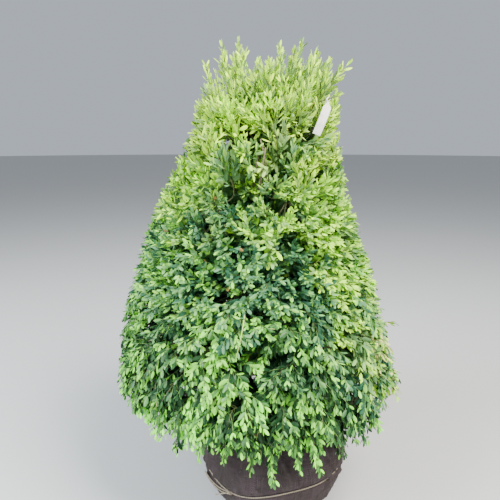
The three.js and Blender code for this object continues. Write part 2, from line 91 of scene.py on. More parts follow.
# The knot's place, how far it spreads in degrees and up and down, and its stand off the ball
KNOT_AZIMUTH = TWINE_DIP_AZIMUTH - 5
KNOT_LEVEL = TWINE_LEVEL - TWINE_DIP
KNOT_STEPS = 60
KNOT_TURNS = 2
KNOT_SPREAD = 2.2
KNOT_HEIGHT = 0.0034
KNOT_STAND = 0.0026
KNOT_REACH = 0.0028

# The loop beside the knot: its turn in degrees, its rise, sag and opening, and its stand off the
# ball at the knot and beyond
LOOP_STEPS = 140
LOOP_TURN = 27
LOOP_RISE = 0.018
LOOP_SAG = 0.006
LOOP_OPENING = 0.005
LOOP_STAND = (0.003, 0.010)

# The hanging end: its turn in degrees, its drop and how that grows, and its stand off the ball
END_STEPS = 80
END_TURN = 18
END_DROP = 0.036
END_CURVE = 1.3
END_STAND = (0.003, 0.009)

# Strands: one turn's length, their distance as a share of their radius, their sides, the loose
# parts' girth, and the side that their turns are counted from
STRAND_LAY = 0.009
STRAND_APART = 0.8
STRAND_SIDES = 6
LOOSE_GIRTH = 0.9
STRAND_SIDE = UP + 0.01

# Burlap's grid: columns, rows of the side and of the underside, what the underside lacks of the
# ball's radius, and how far the side's rows keep from the underside and from the top
BURLAP_COLUMNS = 520
SIDE_ROWS = 170
UNDERSIDE_ROWS = 8
UNDERSIDE_INSET = 0.01
SIDE_MARGIN = 0.012

# The gathered collar outside and inside, as (radius, level), where it begins and how gradually
COLLAR = np.array((
    (0.052, 0.2685), (0.040, 0.2745), (0.034, 0.2830), (0.036, 0.2920), (0.040, 0.2990),
    (0.037, 0.2995), (0.030, 0.2900), (0.022, 0.2760), (0.0, 0.2700),
))
COLLAR_FROM = 0.262
COLLAR_BLEND = 0.012

# Level from which the cloth has its full relief
RELIEF_LEVEL = 0.02

# Folds: their seed and their heights as shares
FOLD_SEED = 17
FOLD_HEIGHTS = (0.3, 1.0)

# Pleats: count, widths in radians, slant in radians a metre, levels of their feet, and the height
# over which they grow
PLEATS = 40
PLEAT_WIDTHS = (0.022, 0.085)
PLEAT_SLANT = 2.2
PLEAT_FEET = (-0.03, 0.13)
PLEAT_GROWTH = 0.12

# Creases: count, widths in radians, slant in radians a metre, and how far from the twine they reach
CREASES = 56
CREASE_WIDTHS = (0.014, 0.042)
CREASE_SLANT = 6.0
CREASE_REACHES = (0.025, 0.06)

# The cloth beside the twine bulges, and under it there is a flat groove
BULGE_HEIGHT = 0.0022
BULGE_AWAY = 0.017
BULGE_REACH = 0.012
GROOVE_DEPTH = 0.0026
GROOVE_REACH = 0.005
GROOVE_FLATNESS = 0.9
GROOVE_SMOOTH_REACH = 0.007

# Ruffle at the collar as (height, count), and what makes the first one uneven
RUFFLES = ((0.0035, 23), (0.002, 41))
RUFFLE_SWAY = (2, 3)

# Crumpling of the cloth as (wavelength, seed, height)
CRUMPLES = ((0.085, 50, 0.0026), (0.024, 51, 0.0009), (0.010, 52, 0.0004))

# Loose threads: count, seed, levels, lengths, points, radius, sides, waviness, its shares round
# and up the ball, and how far the ends and the middle lift off the cloth
THREADS = 150
THREAD_SEED = 61
THREAD_LEVELS = (0.02, 0.235)
THREAD_LENGTHS = (0.006, 0.022)
THREAD_STEPS = 6
THREAD_RADIUS = 0.00024
THREAD_SIDES = 3
THREAD_WAVE = 0.12
THREAD_WAVE_ROUND = 0.3
THREAD_WAVE_UP = 0.5
THREAD_LIFT = 0.0004
THREAD_ARCH = 0.0040
THREAD_PALENESS = 0.45

# Trunk: its fork, its lean at the bend as a share of the fork's, its radius at the foot, without
# the flare and at the fork, and how far up the flare goes as a share of the length
TRUNK_FORK = np.array((-0.036, 0.0, TRUNK_FORK_LEVEL))
TRUNK_BEND_SHARE = 0.2
TRUNK_FOOT_RADIUS = 0.027
TRUNK_RADIUS = 0.017
TRUNK_FORK_RADIUS = 0.006
TRUNK_FLARE_SHARE = 0.1

# Bark on the trunk and on the boughs as (points along, sides, relief, seed)
TRUNK_BARK = (150, 56, 0.0013, 31)
BOUGH_BARK = (26, 14, 0.0007, 41)

# Root flare: its height, and its lobes as (share of the radius, count, turn)
FLARE_HEIGHT = 0.05
FLARE_LOBES = (0.10, 4, 0.7)

# Bark relief: its wavelength, the finer one with its share, how much longer both are along the
# limb, and the side from which the way round is counted
BARK_WAVE = 0.009
BARK_FINE_WAVE = 0.0045
BARK_FINE_SHARE = 0.6
BARK_LENGTHWAYS = (1.0, 1.0, 0.22)
BARK_SIDE = (0.3, 1.0, 0.1)

# Crown outline as (level, radius), and its lean towards -X between two levels
CROWN_OUTLINE = np.array((
    (0.150, 0.180), (0.205, 0.300), (0.290, 0.362), (0.400, 0.349), (0.520, 0.324), (0.640, 0.284),
    (0.760, 0.236), (0.880, 0.190), (0.965, 0.168), (1.050, 0.173), (1.115, 0.088),
))
CROWN_LEAN = 0.058
CROWN_LEAN_FROM = 0.06
CROWN_LEAN_TO = 1.06
OUTLINE_STEPS = 120

# Tiers of foliage as (name, masses, level, turn, rise, level of the boughs' feet, their stagger)
TIERS = (
    ("skirt", 6, 0.262, 30, -26, 0.326, 0.015),
    ("lower", 6, 0.436, 0, 6, 0.408, 0.015),
    ("middle", 5, 0.614, 54, 24, 0.544, 0.014),
    ("upper", 5, 0.788, 18, 42, 0.694, 0.014),
    ("plume", 4, 0.968, 45, 64, 0.832, 0.014),
)

# How far masses stand out of place, in level and in degrees, and the seed of that
LEVEL_WANDER = 0.012
TURN_WANDER = 5
LAYOUT_SEED = 11

# The dense layer: its depth under the outline, its thickness, and how far behind it boughs end
CORE_COVER = 0.046
CORE_THICKNESS = 0.070
CORE_STANDOFF = 0.010

# Boughs: their radius as a share of the trunk's, what is left of it at the end, and their bend
BOUGH_SHARE_OF_TRUNK = 0.58
BOUGH_TAPER = 0.6
BOUGH_BEND = 0.5

# Stem past a bough's end: its points, where the first lies, how far along the bough's taper ends,
# and the stem's radius at its tip as a share of the bough's end
STEM_STEPS = 9
STEM_FROM = 0.12
STEM_TAPER_FROM = 0.74
STEM_TIP = 0.5

# Rise of the shoots as (level, degrees): hanging over the ball, upright at the top
SHOOT_RISE = np.array((
    (0.13, -86), (0.25, -78), (0.35, -62), (0.45, -42),
    (0.56, -16), (0.68, 14), (0.82, 46), (1.00, 72),
))

# Tag: the ends of its plate, its width, and how far above it the twig passes
TAG_TOP = np.array((0.114, -0.112, 0.981))
TAG_FOOT = np.array((0.088, -0.118, 0.914))
TAG_WIDTH = 0.018
TAG_HANG = 0.0079

# Space kept clear of leaves before the tag: how far the view of it slants, where it starts above
# the plate's foot, where it ends above its top, how far it reaches behind, and its half width
TAG_VIEW_SLANT = 0.08
TAG_VIEW_FOOT = 0.006
TAG_VIEW_TOP = 0.008
TAG_VIEW_BACK = 0.010
TAG_VIEW_REACH = 0.0145

# The way that the card faces, its points up and across, its edges as shares of the half width at
# stations up it, its bow in the middle, its curl at the edges, and its lean back at the top
TAG_FACING = np.array((0.2, -1.0, 0.0))
CARD_GRID = (60, 13)
CARD_STATIONS = (0, 0.03, 0.80, 0.86, 0.92, 0.96, 1)
CARD_RIGHT = (0.95, 1, 1, 0.92, 0.40, 0.16, 0.10)
CARD_LEFT = (0.95, 1, 1, 0.78, 0.56, 0.42, 0.38)
CARD_BOW = 0.0035
CARD_CURL = 0.0009
CARD_LEAN = 0.002

# Strap: its points along and across, half width, thickness as a share of the card's, first angle
# and turn in degrees, radius, how far and from where the tail widens, how far, from where and how
# quickly it is drawn aside, and how closely its first rows keep to the card's neck
STRAP_GRID = (54, 5)
STRAP_HALF_WIDTH = 0.0022
STRAP_THICKNESS = 0.7
STRAP_START = -95
STRAP_TURN = 400
STRAP_RADIUS = 0.0034
STRAP_WIDENING = 0.03
STRAP_WIDENS_FROM = 0.55
STRAP_ASIDE = 0.020
STRAP_ASIDE_FROM = 0.35
STRAP_ASIDE_CURVE = 1.4
STRAP_ROWS_AT_NECK = 2
STRAP_TO_NECK = 0.7

# How far the tag's twig goes on past the tag
TAG_TWIG_PAST = 0.014

# Twigs, shoots and stems as (points along, sides, radius at the foot, radius at the tip), and how
# quickly a twig's radius falls
TWIG_FORM = (10, 5, 0.0021, 0.0007)
SHOOT_FORM = (4, 3, 0.00085, 0.00045)
BARE_SHOOT_FORM = (14, 6, 0.0012, 0.0006)
BARE_STEM_FORM = (16, 8, 0.0030, 0.0016)
TAG_TWIG_FORM = (12, 6, 0.0022, 0.0012)
TWIG_TAPER = 0.8

# Crest: the highest level of the tips across the top as (x, level), with the dip between plumes
CREST = np.array((
    (-0.21, 1.005), (-0.165, 1.040), (-0.140, 1.030), (-0.115, 1.098), (-0.075, 1.100), (-0.040, 1.052),
    (-0.010, 1.058), (0.010, 1.092), (0.060, 1.102), (0.105, 1.080), (0.150, 1.050), (0.185, 1.020),
))

# Shoots that stand out of the crown's face, as (x, y, level of the tip, and the tip's heading)
STRAYS = np.array((
    (-0.154, -0.020, 1.068, -0.15, 0.00, 1.00),
    (-0.130, -0.040, 1.048, -0.10, 0.00, 1.00),
    (-0.119, -0.010, 1.110, -0.25, 0.00, 1.00),
    (-0.084, 0.000, 1.118, 0.05, 0.00, 1.00),
    (-0.066, -0.060, 1.088, 0.15, -0.10, 1.00),
    (-0.038, 0.000, 1.080, 0.10, 0.00, 1.00),
    (-0.011, -0.020, 1.074, 0.10, 0.00, 1.00),
    (0.011, 0.000, 1.110, -0.05, 0.00, 1.00),
    (0.037, -0.050, 1.075, 0.25, -0.10, 1.00),
    (0.062, 0.000, 1.118, 0.25, 0.00, 1.00),
    (0.094, 0.000, 1.100, 0.45, 0.00, 1.00),
    (0.117, -0.030, 1.069, 0.60, -0.10, 1.00),
    (0.165, -0.010, 1.071, 0.85, 0.00, 1.00),
    (-0.388, -0.020, 0.280, -1.00, -0.20, 0.15),
    (-0.253, -0.190, 0.240, -0.70, -0.40, -0.50),
    (-0.209, -0.210, 0.222, -0.45, -0.40, -0.80),
    (-0.101, -0.270, 0.240, -0.20, -0.20, -1.00),
    (-0.043, -0.280, 0.225, -0.05, -0.20, -1.00),
    (0.005, -0.300, 0.214, 0.05, -0.20, -1.00),
    (0.060, -0.290, 0.240, 0.10, -0.20, -1.00),
    (0.103, -0.270, 0.222, 0.20, -0.20, -1.00),
    (0.150, -0.230, 0.238, 0.30, -0.30, -1.00),
    (0.192, -0.190, 0.243, 0.50, -0.30, -0.80),
    (0.253, -0.140, 0.248, 0.70, -0.30, -0.60),
    (0.299, -0.040, 0.470, 1.00, -0.30, 0.10),
    (0.308, -0.040, 0.344, 1.00, -0.30, -0.20),
))

# How far the strays may stand out of the outline, and the last ones, which are bleached
STRAY_REACH = 0.035
BLEACHED_STRAYS = 2
BLEACHED_AT = STRAYS[-BLEACHED_STRAYS:, :3]

# How far the outline is trimmed on the left, how far out in full, and the levels where that ends
LEFT_TRIM = 0.018
LEFT_TRIM_FULL = 0.3
LEFT_TRIM_LEVELS = (0.6, 0.8)

# Least distance of a leaf from the ball's centre
CLEAR_OF_BALL = BALL_RADIUS * 1.03 + 0.003

# A bare pale shoot on the front: foot, bend and tip
BARE_SHOOT = np.array(((-0.053, -0.285, 0.582), (-0.052, -0.326, 0.566), (-0.066, -0.327, 0.508)))

# Brown stems that show between the leaves under the plumes: foot, bend and tip of each
BARE_STEMS = np.array((
    ((-0.030, -0.070, 0.770), (-0.034, -0.178, 0.790), (-0.017, -0.166, 0.888)),
    ((-0.018, -0.065, 0.785), (-0.004, -0.168, 0.805), (-0.027, -0.162, 0.905)),
    ((-0.040, -0.060, 0.790), (-0.048, -0.162, 0.805), (-0.031, -0.158, 0.876)),
))

# Levels: where the top's shoots fan out from, where they stand apart, and where the hem thins out
FAN_LEVEL = 0.70
AIRY_FROM = 0.965
AIRY_TO = 1.045
HEM_FROM = 0.25
HEM_TO = 0.37

# How airy the hem is, and the share of sprays that is left out where the crown is airiest
HEM_AIRINESS = 0.9
AIRY_LOSS = 0.35

# Levels between which shoots turn narrow and upright, and between which they cease to hang
LOFTY_LEVELS = (0.76, 0.98)
DROOP_LEVELS = (0.34, 0.62)

# Tips: the golden turn from one to the next, how much less the inset is towards +X, the depth's
# random part and its least value, the clumps' size, seed, middle depth and swing, and the inner
# layer's depths as shares of its own
GOLDEN_TURN = math.pi * (3 - math.sqrt(5))
INSET_SIDE = 0.5
DEPTH_WANDER = 0.016
LEAST_DEPTH = 0.012
CLUMP_SIZE = 0.17
CLUMP_SEED = 3
CLUMP_MIDDLE = 0.35
CLUMP_SWING = 0.65
INNER_DEPTHS = (0.5, 1.9)

# Hem: the level below which tips are lifted, over what height, and by what shares of the lift
LIFT_BELOW = 0.36
LIFT_OVER = 0.16
LIFT_SHARES = (0.2, 1.2)

# Leaders: how far each is off its golden turn, and how far below the crest the highest end
LEADER_WANDER = 0.2
LEADER_DROP = 0.008

# Where rising shoots part from hanging ones, and how many more sprays stand there
PARTING_LEVEL = 0.615
PARTING_REACH = 0.065
PARTING_EXTRA = 0.45

# Dark hollows on the front, as (x, level, radius, depth), how steep their sides are, and the
# distance that keeps them off the back
HOLLOWS = (
    (-0.066, 0.832, 0.040, 0.090), (0.030, 0.625, 0.030, 0.045), (-0.115, 0.602, 0.026, 0.030),
    (0.030, 0.492, 0.026, 0.055), (-0.012, 0.452, 0.036, 0.060), (-0.014, 0.340, 0.028, 0.060),
    (-0.024, 0.862, 0.020, 0.050),
)
HOLLOW_STEEPNESS = 4
HOLLOW_BACK = 9

# Sprays: where their feet stand on a mass's stem, how far their rise in degrees, their heading and
# their flat side wander, how much steadier and longer the airy ones are, how far the flat side
# turns up, and their sizes
FOOT_SHARES = (0.35, 1)
RISE_WANDER = 11
HEADING_WANDER = 0.2
AIRY_STEADIER = 0.3
AIRY_LONGER = 0.5
FACING_UP = 0.9
FACING_WANDER = 0.25
SPRAY_SIZES = (0.82, 1.18)

# Side shoots: from one to the next and from the tip to the first, as shares of the spray, with
# their wander; the two rolls that they take in turn; the fork's wander, and how much narrower it
# is in the airy and in the lofty part
SHOOT_STEP = 0.088
SHOOT_FIRST = 0.75
SHOOT_WANDER = 0.008
SHOOT_ROLLS = (0.62, -0.32)
SHOOT_ROLL_WANDER = 0.2
FORK_WANDER = 0.12
AIRY_NARROWER = 0.5
LOFTY_NARROWER = 0.25

# Lengths of the first and the last pair of side shoots, how far single ones differ, how much
# shorter the airy ones are, and how far they bend to the spray's heading, up and down
SHOOT_LENGTHS = (0.58, 1.3)
SHOOT_SPREAD = (0.75, 1.2)
AIRY_SHORTER = 0.62
SHOOT_BEND = 0.75
SHOOT_CUP = 0.2
SHOOT_SAG = 0.45

# A leaf's rows as (share of the length, share of the width), its foot, and the points of its faces
LEAF_ROWS = ((0.22, 0.66), (0.56, 1.0), (0.87, 0.62))
LEAF_FOOT = 0.02
LEAF_TRIANGLES = np.array(((0, 2, 3), (0, 1, 2), (8, 10, 9), (7, 10, 8)))
LEAF_QUADS = np.array(((2, 5, 6, 3), (1, 4, 5, 2), (5, 8, 9, 6), (4, 7, 8, 5)))

# Leaves on a shoot, in gaps: the first pair, how much longer the gaps are in the lofty part, and
# how far the feet sit above their own place; and how far past the leafy part a last pair may stand
LEAF_FIRST = 0.8
LOFTY_GAP = 0.35
LEAF_FOOT_SHIFT = 0.75
LEAF_SLACK = 0.001

# A pair's roll on a level and on an upright shoot, and its wander
LEAF_ROLLS = (0.42, 0.8)
LEAF_ROLL_WANDER = 0.16

# Size and splay by age, counted in gaps from the shoot's tip
SIZE_AGES = (0, 1.5, 3.5, 8)
SIZES = (0.5, 0.78, 1.0, 0.95)
SPLAY_AGES = (0, 2.5)
SPLAYS = (0.42, 1.0)

# How much closer leaves are held on an upright shoot and in the lofty part, their splay's wander,
# and how far they hang: everywhere, more in the low part, and less in the lofty part
UPRIGHT_CLOSER = 0.4
LOFTY_CLOSER = 0.22
SPLAY_WANDER = 0.13
LEAF_HANG = 0.10
LOW_HANG = 0.28
LOFTY_HANG = 0.12

# The way that leaves face: shares of the shoot's direction, of up and of outwards, and its wander
FACE_ALONG = 0.5
FACE_UP = 0.75
FACE_OUT = 0.45
FACE_WANDER = 0.75

# How far single leaves differ in length, how much longer the lofty and the inner ones are, their
# width, how much less of it the lofty ones have and how much more the inner ones have
LEAF_SPREAD = (0.86, 1.14)
LOFTY_LENGTH = 0.16
INNER_LENGTH = 0.32
LEAF_FULLNESS = 0.94
LOFTY_SLIMMER = 0.24
INNER_WIDER = 0.25

# How far past the outline leaves and side shoots may end, and the leafy shares of side shoots and
# of a spray's own shoot, with where that shoot starts and how much earlier an airy one does
LEAF_PAST = 0.003
SHOOT_PAST = 0.004
SIDE_LEAFY = 0.94
OWN_LEAFY = 0.9
OWN_FROM = 0.62
AIRY_EARLIER = 0.22

# The side painted as sunlit, with lighter and yellower colours: its direction, how nearly a spray
# faces it, its lowest levels, the level whose colours it takes, and how far that goes
SUN_SIDE = np.array((0.93, -0.37, 0.0))
SUN_FACING = (0.70, 0.95)
SUN_LEVELS = (0.24, 0.34)
SUN_TONE_LEVEL = 0.80
SUN_SHARES = (0.45, 1)

# Foliage pieces: four tones of each tier, darkest first, and the one that stands for the nodes.
# The darkest tone is painted shade on the inner layer and far down the sprays, together with the
# older leaves' own darker green; the lightest is the young growth's own lighter green with a
# painted highlight
TONES = ("shade", "main", "fresh", "young_and_painted_highlight")
REPLACING_TONE = 1

# Each tone's gloss as a share of its tier's, its lightness, and its tint low down and in the plumes.
# The darkest tone's low lightness and grey-blue tint are painted shade, and the lightest tone's
# high lightness is a painted highlight
TONE_GLOSS = (0.0, 0.6, 0.8, 0.5)
TONE_LIGHTNESS = (0.32, 0.62, 1.04, 1.96)
LOW_TINTS = ((0.68, 1.05, 1.00), (0.94, 1.02, 0.95), (1.08, 1.00, 0.68), (1.14, 1.00, 0.30))
HIGH_TINTS = ((0.88, 1.00, 2.60), (0.95, 1.00, 1.75), (0.98, 1.00, 0.70), (0.98, 1.00, 0.30))

# For each tier: how far its tones lie apart, from painted shade to painted highlight, its share
# of the plumes' tint, and its gloss
TIER_LOOKS = (
    (2.05, 0.0, 1.0),
    (1.55, 0.0, 1.0),
    (1.02, 0.2, 0.9),
    (0.70, 0.8, 0.5),
    (0.60, 1.0, 0.3),
)

# How far a spray's colours stray from its level, and its lightness: the size, seed and swing of
# light and dark patches, the wander of single sprays, the painted sunlight on the sun's side, the
# painted light that grows towards +X, and the painted shade over the low part
LEVEL_BLUR = 0.042
PATCH_SIZE = 0.22
PATCH_SEED = 8
PATCH_SWING = 0.45
SPRAY_LIGHTNESS_WANDER = 0.6
SUN_PAINTED_LIGHT = 0.12
RIGHT_PAINTED_LIGHT = 0.25
LOW_PAINTED_SHADE = 0.12

# Where one tone of sprays ends and the next begins, and the ages at which leaves turn a tone and
# two tones darker, how much earlier low down, and until which they are a tone lighter. The
# darkening far down a shoot is partly the older leaves' own darker green and partly painted shade
# inside the sprays; the earlier darkening low down is painted shade under the crown
TONE_BORDERS = (-0.35, 0.55)
AGE_WANDER = 1.0
OLD_AND_SHADED_AGE = 4.2
PAINTED_SHADE_EARLIER_LOW = 1.8
OLDER_AND_DEEPER_SHADED_AGE = 6.8
DEEPER_PAINTED_SHADE_EARLIER_LOW = 2.8
LIGHT_AGE = 1.1

# Bleached leaves: their reach round the bleached strays, the shares of sprays and of their leaves,
# and the share of young leaves anywhere; and the share of dead leaves
BLEACHED_REACH = 0.095
BLEACHED_SPRAYS = 0.6
BLEACHED_LEAVES = 0.42
PALE_YOUNG_LEAVES = 0.0012
YOUNG_AGE = 2
DEAD_LEAVES = 0.0010

# A leaf's roughness and specular level from matt to waxy, and its coat
LEAF_ROUGHNESS = (0.6, 0.44)
LEAF_SPECULAR = (0.12, 0.42)
LEAF_COAT = 0.06
LEAF_COAT_ROUGHNESS = 0.25

# Stage: the floor's radius, level and sides, the lights as (place, size, colour), the point that
# they face, the fill light's watts as a share of the key light's, and the lens and sensor in mm
FLOOR_RADIUS = 30
FLOOR_LEVEL = -0.0005
FLOOR_SIDES = 64
KEY_LIGHT = ((1.35, -1.25, 2.9), 1.5, (1.0, 0.97, 0.92))
FILL_LIGHT = ((-2.4, -1.4, 2.5), 2.0, (0.84, 0.93, 1.0))
LIGHT_AIM = (0, 0, 0.55)
FILL_SHARE = 0.95
LENS = 36


class BoxwoodCrown(bpy.types.PropertyGroup):
    """How the crown's twigs branch."""

    sprays: bpy.props.IntProperty(
        name="Sprays", description="Leafy sprays over the whole crown", default=850, min=50, max=1500
    )
    seed: bpy.props.IntProperty(name="Seed", description="Seed of the branching", default=23)
    reach: bpy.props.FloatProperty(
        name="Spray reach", description="Length of a spray's leafy part", default=0.105, unit="LENGTH"
    )
    pairs: bpy.props.IntProperty(
        name="Side shoots", description="Pairs of side shoots on a spray", default=5, min=1, max=9
    )
    shoot: bpy.props.FloatProperty(
        name="Side shoot", description="Length of a middling side shoot", default=0.056, unit="LENGTH"
    )
    fork: bpy.props.FloatProperty(
        name="Fork",
        description="Angle of a side shoot to its twig",
        default=math.radians(42),
        subtype="ANGLE",
    )
    inset: bpy.props.FloatProperty(
        name="Inset",
        description="How far the sprays' tips stay inside the outline",
        default=0.014,
        unit="LENGTH",
    )
    inner: bpy.props.FloatProperty(
        name="Inner layer",
        description="How much deeper a third of the sprays end",
        default=0.075,
        unit="LENGTH",
    )
    billow: bpy.props.FloatProperty(
        name="Billows", description="Depth of the hollows between clumps", default=0.014, unit="LENGTH"
    )
    leaders: bpy.props.IntProperty(
        name="Leaders", description="Separate shoots that make the top", default=84, min=4, max=300
    )
    crest_radius: bpy.props.FloatProperty(
        name="Top's reach", description="Furthest leader from the axis", default=0.162, unit="LENGTH"
    )
    ragged: bpy.props.FloatProperty(
        name="Ragged top",
        description="How far apart in height the top's shoots end",
        default=0.070,
        unit="LENGTH",
    )
    lift: bpy.props.FloatProperty(
        name="Lift", description="How far the hem ends above its outline", default=0.064, unit="LENGTH"
    )


class BoxwoodLeaf(bpy.types.PropertyGroup):
    """The size and shape of a leaf."""

    length: bpy.props.FloatProperty(
        name="Length", description="Length of a full-grown leaf", default=0.0208, unit="LENGTH"
    )
    width: bpy.props.FloatProperty(
        name="Width", description="Widest part as a share of the length", default=0.44, min=0.1, max=1
    )
    gap: bpy.props.FloatProperty(
        name="Gap", description="From one pair of leaves to the next", default=0.0095, unit="LENGTH"
    )
    splay: bpy.props.FloatProperty(
        name="Splay", description="Angle of a leaf to its shoot", default=math.radians(44), subtype="ANGLE"
    )
    fold: bpy.props.FloatProperty(
        name="Fold", description="Drop of the edges as a share of the length", default=0.075, min=0, max=0.5
    )
    curl: bpy.props.FloatProperty(
        name="Curl", description="Drop of the tip as a share of the length", default=0.12, min=0, max=0.5
    )


def colour_property(name, description, default):
    """A colour in the scene's linear values."""
    return bpy.props.FloatVectorProperty(
        name=name, description=description, default=default, size=3, subtype="COLOR", min=0, max=1
    )


class BoxwoodColours(bpy.types.PropertyGroup):
    """Leaf colours by tier, and those of odd leaves, young shoots and twigs."""

    skirt: colour_property("Skirt", "Leaves over the root ball", (0.067, 0.236, 0.055))
    lower: colour_property("Lower", "Leaves of the widest tier", (0.066, 0.214, 0.063))
    middle: colour_property("Middle", "Bluer leaves of the middle tier", (0.106, 0.288, 0.110))
    upper: colour_property("Upper", "Leaves under the plumes", (0.268, 0.500, 0.078))
    plume: colour_property("Plume", "Yellow-green leaves of the plumes", (0.410, 0.620, 0.072))
    bleached: colour_property("Bleached", "Leaves bleached by the sun", (0.640, 0.680, 0.210))
    dead: colour_property("Dead", "Dead leaves", (0.250, 0.150, 0.045))
    stem: colour_property("Green stem", "Young shoots", (0.085, 0.150, 0.038))
    twig: colour_property("Twig", "Older twigs", (0.105, 0.082, 0.042))


class BoxwoodBall(bpy.types.PropertyGroup):
    """The burlap-wrapped root ball and its twine."""

    burlap: colour_property("Burlap", "Soiled jute cloth", (0.057, 0.041, 0.042))
    soil: colour_property("Soil", "Damp soil that shows through the cloth", (0.030, 0.021, 0.017))
    straw: colour_property("Twine", "Sisal twine and loose jute threads", (0.430, 0.350, 0.250))
    weave: bpy.props.FloatProperty(
        name="Weave", description="From one thread of the burlap to the next", default=0.0027, unit="LENGTH"
    )
    pleat: bpy.props.FloatProperty(
        name="Pleats", description="Height of the folds near the top", default=0.0075, unit="LENGTH"
    )
    crease: bpy.props.FloatProperty(
        name="Creases", description="Height of the creases at the twine", default=0.0034, unit="LENGTH"
    )
    strand: bpy.props.FloatProperty(
        name="Strand", description="Radius of one strand of the twine", default=0.00095, unit="LENGTH"
    )


class BoxwoodTrim(bpy.types.PropertyGroup):
    """Bark and tag."""

    bark: colour_property("Bark", "Tan-grey corky bark", (0.210, 0.160, 0.105))
    card: colour_property("Tag", "Blank white tag", (0.860, 0.835, 0.740))
    thickness: bpy.props.FloatProperty(
        name="Tag thickness", description="Thickness of the tag", default=0.0007, unit="LENGTH"
    )


class BoxwoodStage(bpy.types.PropertyGroup):
    """Floor, light and camera."""

    floor: colour_property("Floor", "Pale studio floor", (0.500, 0.500, 0.490))
    sky: colour_property("Sky", "Soft light from all round", (0.820, 0.900, 1.000))
    sky_strength: bpy.props.FloatProperty(
        name="Sky strength", description="Strength of the soft light", default=0.59
    )
    key: bpy.props.FloatProperty(name="Key light", description="Watts of the overhead light", default=315.0)
    distance: bpy.props.FloatProperty(
        name="Distance", description="Camera to the plant's axis, level", default=1.20, unit="LENGTH"
    )
    height: bpy.props.FloatProperty(
        name="Height", description="Camera above the floor", default=0.905, unit="LENGTH"
    )
    pitch: bpy.props.FloatProperty(
        name="Pitch", description="Camera's angle below level", default=math.radians(12.5), subtype="ANGLE"
    )
    yaw: bpy.props.FloatProperty(
        name="Yaw", description="Camera's turn to the left", default=math.atan(23.5 / 500), subtype="ANGLE"
    )


class BoxwoodSettings(bpy.types.PropertyGroup):
    """Everything that a user would change."""

    crown: bpy.props.PointerProperty(type=BoxwoodCrown)
    leaf: bpy.props.PointerProperty(type=BoxwoodLeaf)
    colours: bpy.props.PointerProperty(type=BoxwoodColours)
    ball: bpy.props.PointerProperty(type=BoxwoodBall)
    trim: bpy.props.PointerProperty(type=BoxwoodTrim)
    stage: bpy.props.PointerProperty(type=BoxwoodStage)


# Arrays of vectors

def unit(vectors):
    """Each vector over its own length."""
    return vectors / np.maximum(np.linalg.norm(vectors, axis=-1, keepdims=True), 1e-12)


def square_to(vectors, axes):
    """What is left of each vector without its share along its axis, made one long."""
    return unit(vectors - (vectors * axes).sum(-1, keepdims=True) * axes)


def mix(low, high, share):
    """The value at a share of the way from low to high."""
    return low + (high - low) * share


def bezier(start, bend, end, share):
    """(1-t)^2 start + 2t(1-t) bend + t^2 end, for one row of shares t per curve."""
    t = share[..., None]
    start, bend, end = start[..., None, :], bend[..., None, :], end[..., None, :]
    return (1 - t) ** 2 * start + 2 * t * (1 - t) * bend + t**2 * end


def bezier_heading(start, bend, end, share):
    """The direction of the same curves, 2(1-t) (bend - start) + 2t (end - bend), made one long."""
    t = share[..., None]
    return unit(2 * (1 - t) * (bend - start)[:, None] + 2 * t * (end - bend)[:, None])


def level_directions(azimuth):
    """A level direction for each azimuth: its cosine, its sine and 0."""
    return np.stack([np.cos(azimuth), np.sin(azimuth), np.zeros_like(azimuth)], -1)


def bell(away, reach, steepness=2):
    """1 in the middle, less by exp(-(away / reach)^steepness) further out."""
    return np.exp(-((away / reach) ** steepness))


def tangents(paths):
    """The direction at each point of each path, from the points on both sides of it."""
    return unit(np.gradient(paths, axis=-2))


def bumps(points, wavelength, seed):
    """A smooth value of about -1 to 1 at each point: cosine waves of one length in random
    directions, their sum over the square root of their number."""
    draw = np.random.default_rng(seed)
    waves = 9
    directions = unit(draw.normal(size=(waves, 3))) * (2 * math.pi / wavelength)
    turns = draw.uniform(0, 2 * math.pi, waves)
    return np.cos(points @ directions.T + turns).sum(-1) / math.sqrt(waves)


# Meshes

def add_piece(name, vertices, faces, finish, slot, replaced=(), uv=None):
    """A smooth mesh of vertices (n, 3) and groups of faces with the same number of corners, which
    rides on the plant's body and stands for the replaced nodes. uv is (n, 2), one pair a vertex."""
    mesh = bpy.data.meshes.new(name)
    corners = np.concatenate([group.ravel() for group in faces])
    counts = np.concatenate([np.full(len(group), group.shape[1]) for group in faces])
    mesh.vertices.add(len(vertices))
    mesh.vertices.foreach_set("co", np.ascontiguousarray(vertices, np.float32).ravel())
    mesh.loops.add(len(corners))
    mesh.loops.foreach_set("vertex_index", corners.astype(np.int32))
    mesh.polygons.add(len(counts))
    starts = np.concatenate([[0], np.cumsum(counts)[:-1]])
    mesh.polygons.foreach_set("loop_start", starts.astype(np.int32))
    mesh.polygons.foreach_set("use_smooth", np.ones(len(counts), bool))
    if uv is not None:
        layer = mesh.uv_layers.new(name="cloth")
        layer.uv.foreach_set("vector", np.ascontiguousarray(uv[corners], np.float32).ravel())
    mesh.update(calc_edges=True)
    mesh.materials.append(finish)
    piece = bpy.data.objects.new(name, mesh)
    bpy.context.scene.collection.objects.link(piece)
    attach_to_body(piece, BODY)
    if replaced:
        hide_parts(*replaced)
    return piece


